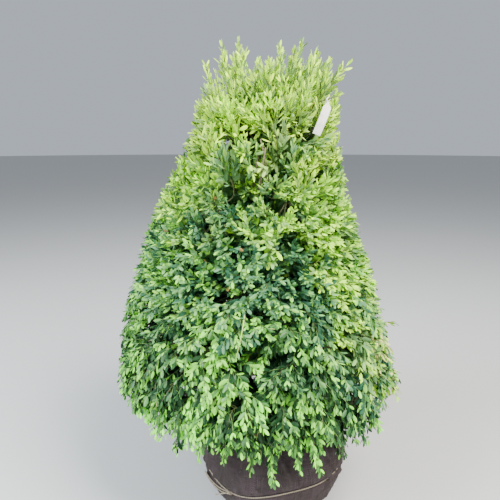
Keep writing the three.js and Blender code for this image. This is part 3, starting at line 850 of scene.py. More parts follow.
def tubes(paths, radii, facing, sides):
    """Closed tubes: a ring of `sides` points round each point of each path (n, k, 3), at its
    radius (n, k), on a frame square to the path with one side towards `facing` (n, 3)."""
    along = tangents(paths)
    side = square_to(np.broadcast_to(facing[:, None, :], paths.shape), along)
    across = np.cross(along, side)
    turn = 2 * math.pi * np.arange(sides) / sides
    ring = np.cos(turn)[:, None] * side[:, :, None, :] + np.sin(turn)[:, None] * across[:, :, None, :]
    vertices = paths[:, :, None, :] + radii[:, :, None, None] * ring
    count, steps = paths.shape[:2]
    index = np.arange(count * steps * sides).reshape(count, steps, sides)
    return vertices.reshape(-1, 3), [wall_faces(index), index[:, 0, ::-1], index[:, -1]]


def wall_faces(index):
    """Four-cornered faces between each row of vertex numbers (..., rows, columns) and the next,
    closed round the rows."""
    here, above = index[..., :-1, :], index[..., 1:, :]
    return np.stack([here, np.roll(here, -1, -1), np.roll(above, -1, -1), above], -1).reshape(-1, 4)


def curved_tubes(curve, facing, form, taper=1):
    """Tubes along quadratic curves (start, bend, end), in a form that gives the points along each,
    the sides, and the radii at foot and tip. Between them the radius follows share^taper."""
    steps, sides, foot, tip = form
    share = np.linspace(0, 1, steps)
    paths = bezier(*curve, np.tile(share, (len(curve[0]), 1)))
    radii = np.tile(mix(foot, tip, share**taper), (len(paths), 1))
    return tubes(paths, radii, np.broadcast_to(facing, (len(paths), 3)), sides)


def joined(parts):
    """Several (vertices, faces) as one, each part's faces moved past the vertices before it."""
    vertices = []
    faces = []
    total = 0
    for part_vertices, part_faces in parts:
        vertices.append(part_vertices)
        faces.extend(group + total for group in part_faces)
        total += len(part_vertices)
    return np.concatenate(vertices), faces


# Shader maths

class Wire:
    """A shader socket on which Python's own signs add Math nodes."""

    def __init__(self, tree, socket):
        self.tree = tree
        self.socket = socket

    def maths(self, operation, first, second=0.0):
        """A Math node's result on wires or numbers."""
        node = self.tree.nodes.new("ShaderNodeMath")
        node.operation = operation
        for socket, value in zip(node.inputs, (first, second)):
            plug(self.tree, socket, value)
        return Wire(self.tree, node.outputs[0])

    def __add__(self, other):
        return self.maths("ADD", self, other)

    def __radd__(self, other):
        return self.maths("ADD", other, self)

    def __sub__(self, other):
        return self.maths("SUBTRACT", self, other)

    def __rsub__(self, other):
        return self.maths("SUBTRACT", other, self)

    def __mul__(self, other):
        return self.maths("MULTIPLY", self, other)

    def __truediv__(self, other):
        return self.maths("DIVIDE", self, other)

    def sine(self):
        return self.maths("SINE", self)

    def size(self):
        return self.maths("ABSOLUTE", self)

    def highest(self, other):
        return self.maths("MAXIMUM", self, other)

    def between(self, low, high):
        """0 below low, 1 above high, and a straight ramp between them."""
        return self.maths("MINIMUM", self.maths("MAXIMUM", (self - low) / (high - low), 0.0), 1.0)


def plug(tree, socket, value):
    """Sets a socket to a value, or links a wire to it."""
    if isinstance(value, Wire):
        tree.links.new(value.socket, socket)
    else:
        socket.default_value = value


def opaque(colour):
    """A colour with full alpha, for a shader's socket."""
    return (*colour, 1.0)


class Finish:
    """A material in the making: a Principled shader, and one method that adds any other node."""

    def __init__(self, name, **constants):
        self.material = bpy.data.materials.new(name)
        self.material.use_nodes = True
        self.tree = self.material.node_tree
        self.shader = next(n for n in self.tree.nodes if n.type == "BSDF_PRINCIPLED")
        for socket, value in constants.items():
            self.set(socket.replace("_", " ").title(), value)

    def set(self, socket, value):
        """Gives a socket of the shader a value or a wire."""
        plug(self.tree, self.shader.inputs[socket], value)

    def node(self, kind, settings=None, sockets=None, output=0):
        """A node of a kind, with its settings and then its sockets filled in."""
        node = self.tree.nodes.new(kind)
        for key, value in (settings or {}).items():
            setattr(node, key, value)
        for key, value in (sockets or {}).items():
            plug(self.tree, node.inputs[key], value)
        return Wire(self.tree, node.outputs[output])

    def place(self, output="Object"):
        """Where on the piece: its own axes, or its UV."""
        return self.node("ShaderNodeTexCoord", output=output)

    def axis(self, vector, index):
        """One of a vector's three numbers."""
        return self.node("ShaderNodeSeparateXYZ", sockets={0: vector}, output=index)

    def noise(self, vector, scale, detail=3.0, roughness=0.5):
        """Cloudy noise from about 0 to 1, with `scale` clouds a unit of the vector."""
        return self.node(
            "ShaderNodeTexNoise",
            sockets={"Vector": vector, "Scale": scale, "Detail": detail, "Roughness": roughness},
        )

    def stretch(self, vector, along, up):
        """A vector whose first two numbers are scaled, to draw a pattern out in one direction."""
        return self.node("ShaderNodeMapping", sockets={"Vector": vector, "Scale": (along, up, 1.0)})

    def slubs(self, vector, along, up):
        """Thick and thin lengths of thread: drawn-out noise as a ramp from 0 to 1."""
        return self.noise(self.stretch(vector, along, up), scale=1.0, detail=2.0).between(0.3, 0.7)

    def blend(self, share, low, high):
        """A colour between two, by Mix. Index 6 and 7 are the node's colour sockets."""
        return self.node(
            "ShaderNodeMix", {"data_type": "RGBA"}, {0: share, 6: low, 7: high}, output=2
        )

    def bump(self, height, distance):
        """Relief that shades as if the surface rose by the height times the distance."""
        sockets = {"Height": height, "Distance": distance, "Strength": 1.0}
        self.set("Normal", self.node("ShaderNodeBump", sockets=sockets))


# Crown: the outline, the masses and their limbs, by the frame's own rule

def smooth_outline():
    """Uniform Catmull-Rom curve through the outline's stations, its ends repeated."""
    stations = np.concatenate([CROWN_OUTLINE[:1], CROWN_OUTLINE, CROWN_OUTLINE[-1:]])
    place = np.linspace(0, len(CROWN_OUTLINE) - 1, OUTLINE_STEPS + 1)
    before = np.minimum(place.astype(int), len(CROWN_OUTLINE) - 2)
    t = (place - before)[:, None]
    a, b, c, d = (stations[before + k] for k in range(4))
    leave, arrive = (c - a) / 2, (d - b) / 2
    cubic = 2 * b - 2 * c + leave + arrive
    square = 3 * c - 3 * b - 2 * leave - arrive
    return cubic * t**3 + square * t**2 + leave * t + b


OUTLINE = smooth_outline()


def crown_radius(level):
    """The outline's radius at a level, by straight steps between its points, and 0 outside it."""
    return np.interp(level, OUTLINE[:, 0], OUTLINE[:, 1], left=0, right=0)


def crown_shift(level):
    """The axis's x at a level: minus the lean times the sine of pi times the share of the way up."""
    share = np.clip((level - CROWN_LEAN_FROM) / (CROWN_LEAN_TO - CROWN_LEAN_FROM), 0, 1)
    return -CROWN_LEAN * np.sin(math.pi * share)


def off_axis(points):
    """Level distance of points from the crown's leaning axis."""
    return np.hypot(points[..., 0] - crown_shift(points[..., 2]), points[..., 1])


def on_crown(around, radius, level):
    """Points in level directions from the crown's leaning axis, at a radius and a level."""
    points = around * radius[:, None] + UP * level[:, None]
    points[:, 0] += crown_shift(level)
    return points


def inset_radius(level, inset):
    """The outline moved inwards by the same distance everywhere: the least of the radius at levels
    within the inset less sqrt(inset^2 - rise^2)."""
    samples = 13
    rise = np.linspace(-inset, inset, samples)
    return (crown_radius(level + rise) - np.sqrt(inset**2 - rise**2)).min()


def random_source(seed):
    """Numbers from 0 to 1 in the order in which the frame's own layout drew them: a counter of 32
    bits that grows by a fixed stride, its bits mixed by shifts, exclusive ors and products."""
    word = 0xFFFFFFFF
    stride = 0x6D2B79F5
    state = seed
    while True:
        state = (state + stride) & word
        mixed = ((state ^ state >> 15) * (1 | state)) & word
        mixed = ((mixed + (((mixed ^ mixed >> 7) * (61 | mixed)) & word)) ^ mixed) & word
        yield (mixed ^ mixed >> 14) / (word + 1)


def round_radius(level):
    """The sphere's radius at a level, narrower towards the foot."""
    rise = level - BALL_CENTRE_LEVEL
    narrowing = 1 - BALL_FOOT_NARROWING * np.maximum(0, 1 - level / BALL_CENTRE_LEVEL)
    return np.sqrt(np.maximum(0, BALL_RADIUS**2 - rise**2)) * narrowing


def lobes(azimuth):
    """The waves round the ball as a share of its radius: the sum of share cos(count a + turn)."""
    return sum(share * np.cos(count * azimuth + turn) for share, count, turn in BALL_LOBES)


def ball_radius(level, azimuth):
    """The ball's radius at a level and azimuth: the round radius times one and the lobes."""
    return round_radius(level) * (1 + lobes(azimuth))


def trunk_point(share):
    """The trunk's middle line: a quadratic curve from the ball's top to the fork."""
    foot = np.array((0, 0, TRUNK_FOOT_LEVEL))
    bend = np.array((TRUNK_FORK[0] * TRUNK_BEND_SHARE, 0, (TRUNK_FOOT_LEVEL + TRUNK_FORK_LEVEL) / 2))
    return bezier(foot, bend, TRUNK_FORK, np.atleast_1d(np.asarray(share, float)))


def trunk_radius(share):
    """Straight taper from the radius to the fork's, plus the flare times (1 - share / its own)^2."""
    flare = np.maximum(0, 1 - share / TRUNK_FLARE_SHARE) ** 2
    return mix(TRUNK_RADIUS, TRUNK_FORK_RADIUS, share) + (TRUNK_FOOT_RADIUS - TRUNK_RADIUS) * flare


def lay_out_masses():
    """Each mass's centre, heading and bough's foot level, and its bough's start, bend, end and
    radius. Masses stand evenly round each tier, a little out of place at random."""
    draws = random_source(LAYOUT_SEED)
    masses = []
    for _, count, middle, turn, rise, attach, stagger in TIERS:
        for i in range(count):
            azimuth = math.radians(turn + 360 * i / count + (2 * next(draws) - 1) * TURN_WANDER)
            level = middle + (2 * next(draws) - 1) * LEVEL_WANDER
            around = np.array((math.cos(azimuth), math.sin(azimuth), 0))
            out = crown_radius(level) - CORE_COVER - CORE_THICKNESS / 2
            centre = np.array((crown_shift(level), 0, level)) + out * around
            heading = around * math.cos(math.radians(rise)) + UP * math.sin(math.radians(rise))
            foot = attach + stagger * (i % 3 - 1)
            masses.append({"centre": centre, "heading": heading, "foot": foot})
    centres = np.array([mass["centre"] for mass in masses])
    for mass in masses:
        plan_bough(mass, centres)
    return masses


def plan_bough(mass, centres):
    """A bough ends a standoff behind the dense layer, straight behind its mass's centre. The back
    of the layer is found by small strides."""
    back = -mass["heading"]
    stride = 0.004
    point = mass["centre"].copy()
    depth = 0.0
    while in_dense_layer(mass, point, centres):
        depth += stride
        point += back * stride
    share = (mass["foot"] - TRUNK_FOOT_LEVEL) / (TRUNK_FORK_LEVEL - TRUNK_FOOT_LEVEL)
    mass["start"] = trunk_point(share)[0]
    mass["end"] = mass["centre"] + back * (depth + CORE_STANDOFF)
    mass["bend"] = mass["end"] + back * BOUGH_BEND * np.linalg.norm(mass["start"] - mass["end"])
    mass["radius"] = BOUGH_SHARE_OF_TRUNK * trunk_radius(share)


def in_dense_layer(mass, point, centres):
    """Whether a point lies outside the hollow round the trunk and nearest to its own mass."""
    nearest = np.linalg.norm(centres - point, axis=1).min()
    own = np.linalg.norm(mass["centre"] - point)
    return own <= nearest + 1e-6 and off_axis(point) > inset_radius(point[2], CORE_COVER + CORE_THICKNESS)


MASSES = lay_out_masses()


def plan_tips(count, crown, draw):
    """Spray tips: equal areas of the outline turned round the axis, one golden turn apart, and a
    little closer where rising shoots part from hanging ones. Each is sunk in by its depth. A third
    of them make an inner layer in the same way. The hem is lifted unevenly. Leaders stand close
    over the top, and strays come last."""
    profile = np.vstack([OUTLINE, (OUTLINE[-1, 0], 0)])
    steps = np.diff(profile, axis=0)
    bands = np.hypot(steps[:, 0], steps[:, 1]) * (profile[1:, 1] + profile[:-1, 1])
    bands *= 1 + PARTING_EXTRA * bell(profile[1:, 0] - PARTING_LEVEL, PARTING_REACH)
    area = np.concatenate([[0], np.cumsum(bands)])
    outer = count * 2 // 3
    layers = (outer, count - outer)
    turn = np.concatenate([np.arange(layer) for layer in layers])
    wanted = area[-1] * np.concatenate([(np.arange(layer) + 0.5) / layer for layer in layers])
    level = np.interp(wanted, area, profile[:, 0])
    radius = np.interp(wanted, area, profile[:, 1])
    around = level_directions(GOLDEN_TURN * turn)
    inner = np.arange(count) >= outer
    depth = tip_depth(on_crown(around, radius, level), around, inner, crown, draw)
    lifted = crown.lift * np.clip((LIFT_BELOW - level) / LIFT_OVER, 0, 1)
    level = np.minimum(level + lifted * draw.uniform(*LIFT_SHARES, count), AIRY_FROM)
    radius = np.maximum(0, np.minimum(radius, crown_radius(level)) - depth)
    tip = on_crown(around, radius, level)
    leader, leader_around = plan_leaders(crown, draw)
    kept = draw.random(count) > AIRY_LOSS * airiness(level)
    inner = np.concatenate([inner[kept], np.zeros(len(leader) + len(STRAYS), bool)])
    stray_around = unit(STRAYS[:, :3] * (1, 1, 0))
    tips = np.concatenate([tip[kept], leader, STRAYS[:, :3]])
    return tips, np.concatenate([around[kept], leader_around, stray_around]), inner


def tip_depth(on_face, around, inner, crown, draw):
    """How far inside the outline sprays end: the inset, less towards +X, a random part, the
    hollows between clumps, the inner layer's depth, and the dark hollows on the front."""
    count = len(on_face)
    depth = crown.inset * (1 - INSET_SIDE * around[:, 0]) + DEPTH_WANDER * draw.random(count) ** 2
    clumps = CLUMP_MIDDLE + CLUMP_SWING * bumps(on_face, CLUMP_SIZE, CLUMP_SEED)
    depth += crown.billow * np.clip(clumps, 0, 1)
    depth += crown.inner * inner * draw.uniform(*INNER_DEPTHS, count)
    for x, height, reach, extra in HOLLOWS:
        away = np.hypot(on_face[:, 0] - x, on_face[:, 2] - height) + HOLLOW_BACK * (on_face[:, 1] > 0)
        depth += extra * bell(away, reach, HOLLOW_STEEPNESS) * ~inner
    return np.maximum(depth, LEAST_DEPTH)


def plan_leaders(crown, draw):
    """Tips of the separate shoots at the top: a golden spiral over the crown's widest upper round,
    at the crest's level or as high as the outline allows there, less a random drop."""
    count = crown.leaders
    off = crown.crest_radius * np.sqrt((np.arange(count) + 0.5) / count)
    around = level_directions(GOLDEN_TURN * np.arange(count) + draw.normal(0, LEADER_WANDER, count))
    shoulder = OUTLINE[np.argmax(OUTLINE[:, 0] > AIRY_TO) :]
    highest = np.interp(off, shoulder[::-1, 1], shoulder[::-1, 0])
    x = off * around[:, 0] + crown_shift(highest)
    level = np.minimum(highest, np.interp(x, CREST[:, 0], CREST[:, 1]))
    level = level - LEADER_DROP - crown.ragged * draw.random(count) ** 2
    return on_crown(around, off, level), around


def airiness(level):
    """From 0 in the dense crown to 1 among the separate shoots of the top and partly so at the hem."""
    return np.interp(level, (HEM_FROM, HEM_TO, AIRY_FROM, AIRY_TO), (HEM_AIRINESS, 0, 0, 1))


def loftiness(level):
    """From 0 below the plumes to 1 at the top, where shoots and leaves are narrow and upright."""
    return np.interp(level, LOFTY_LEVELS, (0, 1))


def droop(level):
    """From 0 above the crown's widest part to 1 over the ball, where shoots and leaves hang."""
    return np.interp(level, DROOP_LEVELS, (1, 0))


def clear_of_tag(points):
    """Clear of the tag's plate and of the view of it from the front."""
    x, y, level = (points[..., axis] for axis in range(3))
    share = np.clip((level - TAG_FOOT[2]) / (TAG_TOP[2] - TAG_FOOT[2]), 0, 1)
    on_tag = mix(TAG_FOOT, TAG_TOP, share[..., None])
    beside = np.abs(x - on_tag[..., 0] - TAG_VIEW_SLANT * (y - on_tag[..., 1]))
    above = np.abs(level - np.clip(level, TAG_FOOT[2] + TAG_VIEW_FOOT, TAG_TOP[2] + TAG_VIEW_TOP))
    in_front = y < on_tag[..., 1] + TAG_VIEW_BACK
    return ~(in_front & (np.hypot(beside, above) < TAG_VIEW_REACH))


def in_space(points, past):
    """Inside the crown's outline moved out by `past` and trimmed on the left, off the ball and
    clear of the tag."""
    level = points[..., 2]
    trim = LEFT_TRIM * np.clip(-points[..., 0] / LEFT_TRIM_FULL, 0, 1)
    trim = trim * np.interp(level, LEFT_TRIM_LEVELS, (1, 0))
    clear = off_axis(points) <= crown_radius(np.minimum(level, OUTLINE[-1, 0])) + past - trim
    clear &= level <= OUTLINE[-1, 0] + past
    clear &= np.linalg.norm(points - UP * BALL_CENTRE_LEVEL, axis=-1) > CLEAR_OF_BALL
    return clear & clear_of_tag(points)


def plan_sprays(crown):
    """Sprays as curves from a point on the nearest mass's stem to the tip, with their heading,
    the way that their flat side faces, and their own size."""
    draw = np.random.default_rng(crown.seed)
    tip, around, inner = plan_tips(crown.sprays, crown, draw)
    count = len(tip)
    level = tip[:, 2]
    centres = np.array([mass["centre"] for mass in MASSES])
    ends = np.array([mass["end"] for mass in MASSES])
    nearest = np.linalg.norm(tip[:, None] - centres, axis=2).argmin(1)
    foot = mix(ends[nearest], centres[nearest], draw.uniform(*FOOT_SHARES, (count, 1)))
    rise = np.interp(level, SHOOT_RISE[:, 0], SHOOT_RISE[:, 1]) + draw.normal(0, RISE_WANDER, count)
    rise = np.radians(rise)
    heading = around * np.cos(rise)[:, None] + UP * np.sin(rise)[:, None]
    airy = airiness(level)
    fan = unit(tip - np.array((crown_shift(FAN_LEVEL) / 2, 0, FAN_LEVEL)))
    heading = mix(heading, fan, (airy * (level > AIRY_FROM))[:, None])
    steadier = (1 - AIRY_STEADIER * airy)[:, None]
    heading = unit(heading + draw.normal(0, HEADING_WANDER, (count, 3)) * steadier)
    heading[-len(STRAYS) :] = unit(STRAYS[:, 3:])
    airy[-len(STRAYS) :] = 1
    past = np.where(np.arange(count) < count - len(STRAYS), 0, STRAY_REACH)
    facing = around + UP * FACING_UP + draw.normal(0, FACING_WANDER, (count, 3))
    facing = square_to(facing, heading)
    size = draw.uniform(*SPRAY_SIZES, count)
    bend = tip - heading * (crown.reach * size * (1 + AIRY_LONGER * airy))[:, None]
    spray = {"tip": tip, "foot": foot, "bend": bend, "heading": heading, "facing": facing}
    spray.update(size=size, airy=airy, around=around, inner=inner, past=past)
    spray.update(high=loftiness(level), low=droop(level))
    kept = in_space(tip, past)
    return {key: value[kept] for key, value in spray.items()}, draw


def plan_side_shoots(spray, crown, draw):
    """Opposite pairs of side shoots on each spray, longest lowest down, that leave it at the
    fork's angle and bend back towards its heading, so that the spray fans out."""
    count, pairs = len(spray["tip"]), crown.pairs
    shape = (count, pairs)
    share = 1 - SHOOT_STEP * (np.arange(pairs) + SHOOT_FIRST) + draw.normal(0, SHOOT_WANDER, shape)
    curve = (spray["foot"], spray["bend"], spray["tip"])
    root = bezier(*curve, share)
    along = bezier_heading(*curve, share)
    facing = np.broadcast_to(spray["facing"][:, None], along.shape)
    across = np.cross(along, square_to(facing, along))
    roll = np.where(np.arange(pairs) % 2, *SHOOT_ROLLS) + draw.normal(0, SHOOT_ROLL_WANDER, shape)
    airy, high = spray["airy"], spray["high"]
    narrow = 1 - AIRY_NARROWER * airy - LOFTY_NARROWER * high * (1 - airy)
    grown = np.interp(np.arange(pairs), (0, pairs - 1), SHOOT_LENGTHS)
    size = spray["size"] * (1 - AIRY_SHORTER * airy)
    sag = UP * (SHOOT_SAG * spray["low"])[:, None, None]
    shoots = []
    for sign in (-1, 1):
        side = across * np.cos(roll)[..., None] + facing * np.sin(roll)[..., None]
        fork = crown.fork * narrow[:, None] + draw.normal(0, FORK_WANDER, shape)
        leave = along * np.cos(fork)[..., None] + sign * side * np.sin(fork)[..., None]
        length = crown.shoot * grown * size[:, None] * draw.uniform(*SHOOT_SPREAD, shape)
        middle = root + leave * (length / 2)[..., None]
        arrive = leave + SHOOT_BEND * spray["heading"][:, None] + SHOOT_CUP * facing - sag
        end = middle + unit(arrive) * (length / 2)[..., None]
        shoots.append((root, middle, end, length, facing))
    merged = [np.stack(part, 2).reshape(-1, *part[0].shape[2:]) for part in zip(*shoots)]
    owner = np.repeat(np.arange(count), pairs * 2)
    return dict(zip(("root", "bend", "end", "length", "facing"), merged)), owner


def leaf_template(leaf):
    """A leaf's points as shares of its length, along, across and up. Three rows of three lie
    between foot and tip, the edges drop by the fold, and the tip by the curl times share squared."""
    points = [(LEAF_FOOT, 0.0)]
    for share, width in LEAF_ROWS:
        points.extend((share, width * leaf.width / 2 * edge) for edge in (-1, 0, 1))
    points.append((1.0, 0.0))
    flat = np.array(points)
    drop = -leaf.fold * np.abs(flat[:, 1]) / (leaf.width / 2) - leaf.curl * flat[:, 0] ** 2
    return np.column_stack([flat, drop])


def leaf_mesh(foot, along, normal, length, slim, leaf):
    """Many leaves as one mesh: the template carried by each leaf's own frame, length and width."""
    across = np.cross(normal, along) * slim[:, None]
    axes = np.stack([along, across, normal], 1)
    points = foot[:, None] + length[:, None, None] * (leaf_template(leaf) @ axes)
    first = points.shape[1] * np.arange(len(foot))[:, None, None]
    groups = [(first + LEAF_TRIANGLES).reshape(-1, 3), (first + LEAF_QUADS).reshape(-1, 4)]
    return points.reshape(-1, 3), groups


def plan_leaves(shoots, owner, spray, leaf, draw):
    """Opposite pairs of leaves on every shoot, a gap apart, each pair turned from the last, held
    out at the splay and closer to the shoot towards its tip, upper sides to the light."""
    nodes = int(np.ceil(shoots["length"].max() / leaf.gap)) + 1
    high, low, inner = (spray[key][owner][:, None] for key in ("high", "low", "inner"))
    whole = shoots["length"][:, None]
    step = (np.arange(nodes) + LEAF_FIRST) * leaf.gap * (1 + LOFTY_GAP * high)
    on_shoot = step < (shoots["length"] * shoots["leafy"])[:, None] + LEAF_SLACK
    share = np.clip(1 - step / whole + leaf.gap * LEAF_FOOT_SHIFT / whole, 0, 1)
    curve = (shoots["root"], shoots["bend"], shoots["end"])
    foot = bezier(*curve, share)
    along = bezier_heading(*curve, share)
    facing = square_to(np.broadcast_to(shoots["facing"][:, None], along.shape), along)
    across = np.cross(along, facing)
    upright = np.clip(along[..., 2], 0, 1)
    turned = np.where(np.arange(nodes) % 2, 1, -1) * mix(*LEAF_ROLLS, upright)
    age = step / leaf.gap
    sizes = np.interp(age, SIZE_AGES, SIZES)
    shape = share.shape
    leaves = []
    for sign in (-1, 1):
        roll = turned + draw.normal(0, LEAF_ROLL_WANDER, shape)
        side = across * np.cos(roll)[..., None] + facing * np.sin(roll)[..., None]
        splay = leaf.splay * np.interp(age, SPLAY_AGES, SPLAYS) * (1 - UPRIGHT_CLOSER * upright)
        splay = splay * (1 - LOFTY_CLOSER * high) + draw.normal(0, SPLAY_WANDER, shape)
        out = along * np.cos(splay)[..., None] + sign * side * np.sin(splay)[..., None]
        out = unit(out - UP * (LEAF_HANG + LOW_HANG * low - LOFTY_HANG * high)[..., None])
        light = along * FACE_ALONG + UP * FACE_UP + spray["around"][owner][:, None] * FACE_OUT
        light = light + draw.normal(0, FACE_WANDER, out.shape)
        length = leaf.length * sizes * draw.uniform(*LEAF_SPREAD, shape) * (1 + LOFTY_LENGTH * high)
        length = length * np.sqrt(spray["size"][owner])[:, None] * (1 + INNER_LENGTH * inner)
        slim = (LEAF_FULLNESS - LOFTY_SLIMMER * high) * (1 + INNER_WIDER * inner)
        slim = np.broadcast_to(slim, shape)
        leaves.append((foot, out, square_to(light, out), length, slim, np.broadcast_to(age, shape)))
    merged = [np.stack(part, 2).reshape(-1, *part[0].shape[2:]) for part in zip(*leaves)]
    kept = np.repeat(on_shoot.ravel(), 2)
    tips = merged[0] + merged[1] * merged[3][:, None]
    who = np.repeat(owner, nodes * 2)
    kept &= in_space(tips, LEAF_PAST + spray["past"][who]) & in_space(merged[0], spray["past"][who])
    names = ("foot", "along", "normal", "length", "slim", "age")
    return {name: part[kept] for name, part in zip(names, merged)} | {"spray": who[kept]}


def grow_crown(settings):
    """Sprays, all their shoots, and the leaves, the same on every run."""
    spray, draw = plan_sprays(settings.crown)
    side, owner = plan_side_shoots(spray, settings.crown, draw)
    past = spray["past"][owner]
    kept = in_space(side["end"], SHOOT_PAST + past) & in_space(side["root"], past)
    side = {key: value[kept] for key, value in side.items()}
    owner = owner[kept]
    side["leafy"] = np.full(len(owner), SIDE_LEAFY)
    own_from = OWN_FROM - AIRY_EARLIER * spray["airy"][:, None]
    start = bezier(spray["foot"], spray["bend"], spray["tip"], own_from)[:, 0]
    bend = mix(spray["bend"], spray["tip"], own_from)
    length = np.linalg.norm(spray["tip"] - start, axis=1)
    own = {"root": start, "bend": bend, "end": spray["tip"], "length": length, "facing": spray["facing"]}
    own["leafy"] = np.full(len(length), OWN_LEAFY)
    shoots = {key: np.concatenate([own[key], side[key]]) for key in own}
    owners = np.concatenate([np.arange(len(length)), owner])
    leaves = plan_leaves(shoots, owners, spray, settings.leaf, draw)
    return spray, side, leaves, draw


def deal_tones(spray, leaves, draw):
    """A tier and a tone for each leaf: the spray's own, a step darker far down a shoot, as older
    leaves and as painted shade, and a step lighter at its end. The inner layer takes the darkest
    tone as painted shade. Sprays on the sunlit side take the colours of a higher level and are
    lighter, as painted sunlight; sprays are lighter towards +X as painted light and darker low down
    as painted shade. A few sprays at the right edge are bleached, and a few leaves are dead."""
    count = len(spray["tip"])
    sunny = np.interp(spray["around"] @ SUN_SIDE, SUN_FACING, (0, 1))
    sunny = sunny * np.interp(spray["tip"][:, 2], SUN_LEVELS, (0, 1))
    level = spray["tip"][:, 2] + draw.normal(0, LEVEL_BLUR, count)
    # Painted sunlight: sprays on the sun's side take the yellower colours of a higher level
    level += np.maximum(0, SUN_TONE_LEVEL - level) * sunny * draw.uniform(*SUN_SHARES, count)
    borders = [(low[2] + high[2]) / 2 for low, high in zip(TIERS, TIERS[1:])]
    tier = np.searchsorted(borders, level)
    lightness = bumps(spray["tip"], PATCH_SIZE, PATCH_SEED) * PATCH_SWING
    lightness += draw.normal(0, SPRAY_LIGHTNESS_WANDER, count)
    # Painted sunlight on the sun's side, painted light growing towards +X, and painted shade low down
    lightness += SUN_PAINTED_LIGHT * sunny + RIGHT_PAINTED_LIGHT * spray["tip"][:, 0] - LOW_PAINTED_SHADE * spray["low"]
    # The inner layer takes the darkest tone, as painted shade
    own = np.where(spray["inner"], 0, np.digitize(lightness, TONE_BORDERS) + 1)
    age = leaves["age"] + draw.normal(0, AGE_WANDER, len(leaves["age"]))
    low = spray["low"][leaves["spray"]]
    # Far down a shoot leaves turn darker, as older leaves and as painted shade; earlier low down as painted
    # shade
    deeper = (age > OLD_AND_SHADED_AGE - PAINTED_SHADE_EARLIER_LOW * low).astype(int) + (age > OLDER_AND_DEEPER_SHADED_AGE - DEEPER_PAINTED_SHADE_EARLIER_LOW * low)
    tone = own[leaves["spray"]] - deeper + (age < LIGHT_AGE) + draw.integers(-1, 2, len(age))
    tone = np.clip(tone, 0, len(TONES) - 1)
    near_pale = np.linalg.norm(spray["tip"] - BLEACHED_AT[:, None], axis=2).min(0)
    bleached = (near_pale < BLEACHED_REACH) & (draw.random(count) < BLEACHED_SPRAYS) & ~spray["inner"]
    bleached[-BLEACHED_STRAYS:] = True
    pale_leaf = bleached[leaves["spray"]] & (draw.random(len(tone)) < BLEACHED_LEAVES)
    pale_leaf |= (draw.random(len(tone)) < PALE_YOUNG_LEAVES) & (leaves["age"] < YOUNG_AGE)
    dead_leaf = draw.random(len(tone)) < DEAD_LEAVES
    return tier[leaves["spray"]], tone, pale_leaf, dead_leaf


def leaf_finish(name, colour, gloss):
    """A leaf of one plain colour, as waxy as its gloss from 0 to 1."""
    roughness = mix(*LEAF_ROUGHNESS, gloss)
    finish = Finish(name, base_color=opaque(colour), roughness=roughness, coat_weight=LEAF_COAT * gloss)
    finish.shader.inputs["Coat Roughness"].default_value = LEAF_COAT_ROUGHNESS
    finish.shader.inputs["Specular IOR Level"].default_value = mix(*LEAF_SPECULAR, gloss)
    return finish.material


def tone_colour(base, tone, depth, high):
    """A tier's colour in one tone: the base times the tone's lightness to the power of the depth,
    times a tint between those of the lower crown and of the plumes."""
    tint = mix(np.array(LOW_TINTS[tone]), np.array(HIGH_TINTS[tone]), high)
    return tuple(np.minimum(1.0, np.array(base) * TONE_LIGHTNESS[tone] ** depth * tint))


class BOXWOOD_OT_leaves(bpy.types.Operator):
    """Grows the leaves, in one piece for each tone of each tier"""

    bl_idname = "boxwood.leaves"
    bl_label = "Leaves"

    def execute(self, context):
        settings = context.scene.boxwood
        spray, _, leaves, draw = grow_crown(settings)
        tier, tone, pale, dead = deal_tones(spray, leaves, draw)

        def add(name, chosen, colour, slot, replaced=(), gloss=1.0):
            """A piece of the chosen leaves in one colour."""
            parts = [leaves[key][chosen] for key in ("foot", "along", "normal", "length", "slim")]
            vertices, faces = leaf_mesh(*parts, settings.leaf)
            add_piece(name, vertices, faces, leaf_finish(name, colour, gloss), slot, replaced)

        for i, tier_name in enumerate(row[0] for row in TIERS):
            base = getattr(settings.colours, tier_name)
            depth, high, gloss = TIER_LOOKS[i]
            nodes = [node for node in FOLIAGE_NODES if node.startswith(f"foliage_{tier_name}_")]
            for j, tone_name in enumerate(TONES):
                name = f"leaves_{tier_name}_{tone_name}"
                chosen = (tier == i) & (tone == j) & ~pale & ~dead
                replaced = nodes if j == REPLACING_TONE else ()
                # The darkest tone is painted shade, and the lightest carries a painted highlight
                colour = tone_colour(base, j, depth, high)
                add(name, chosen, colour, f"foliage_{tier_name}", replaced, gloss * TONE_GLOSS[j])
        add("leaves_bleached", pale & ~dead, settings.colours.bleached, "foliage_lower")
        add("leaves_dead", dead, settings.colours.dead, "foliage_skirt", gloss=0.0)
        return {"FINISHED"}


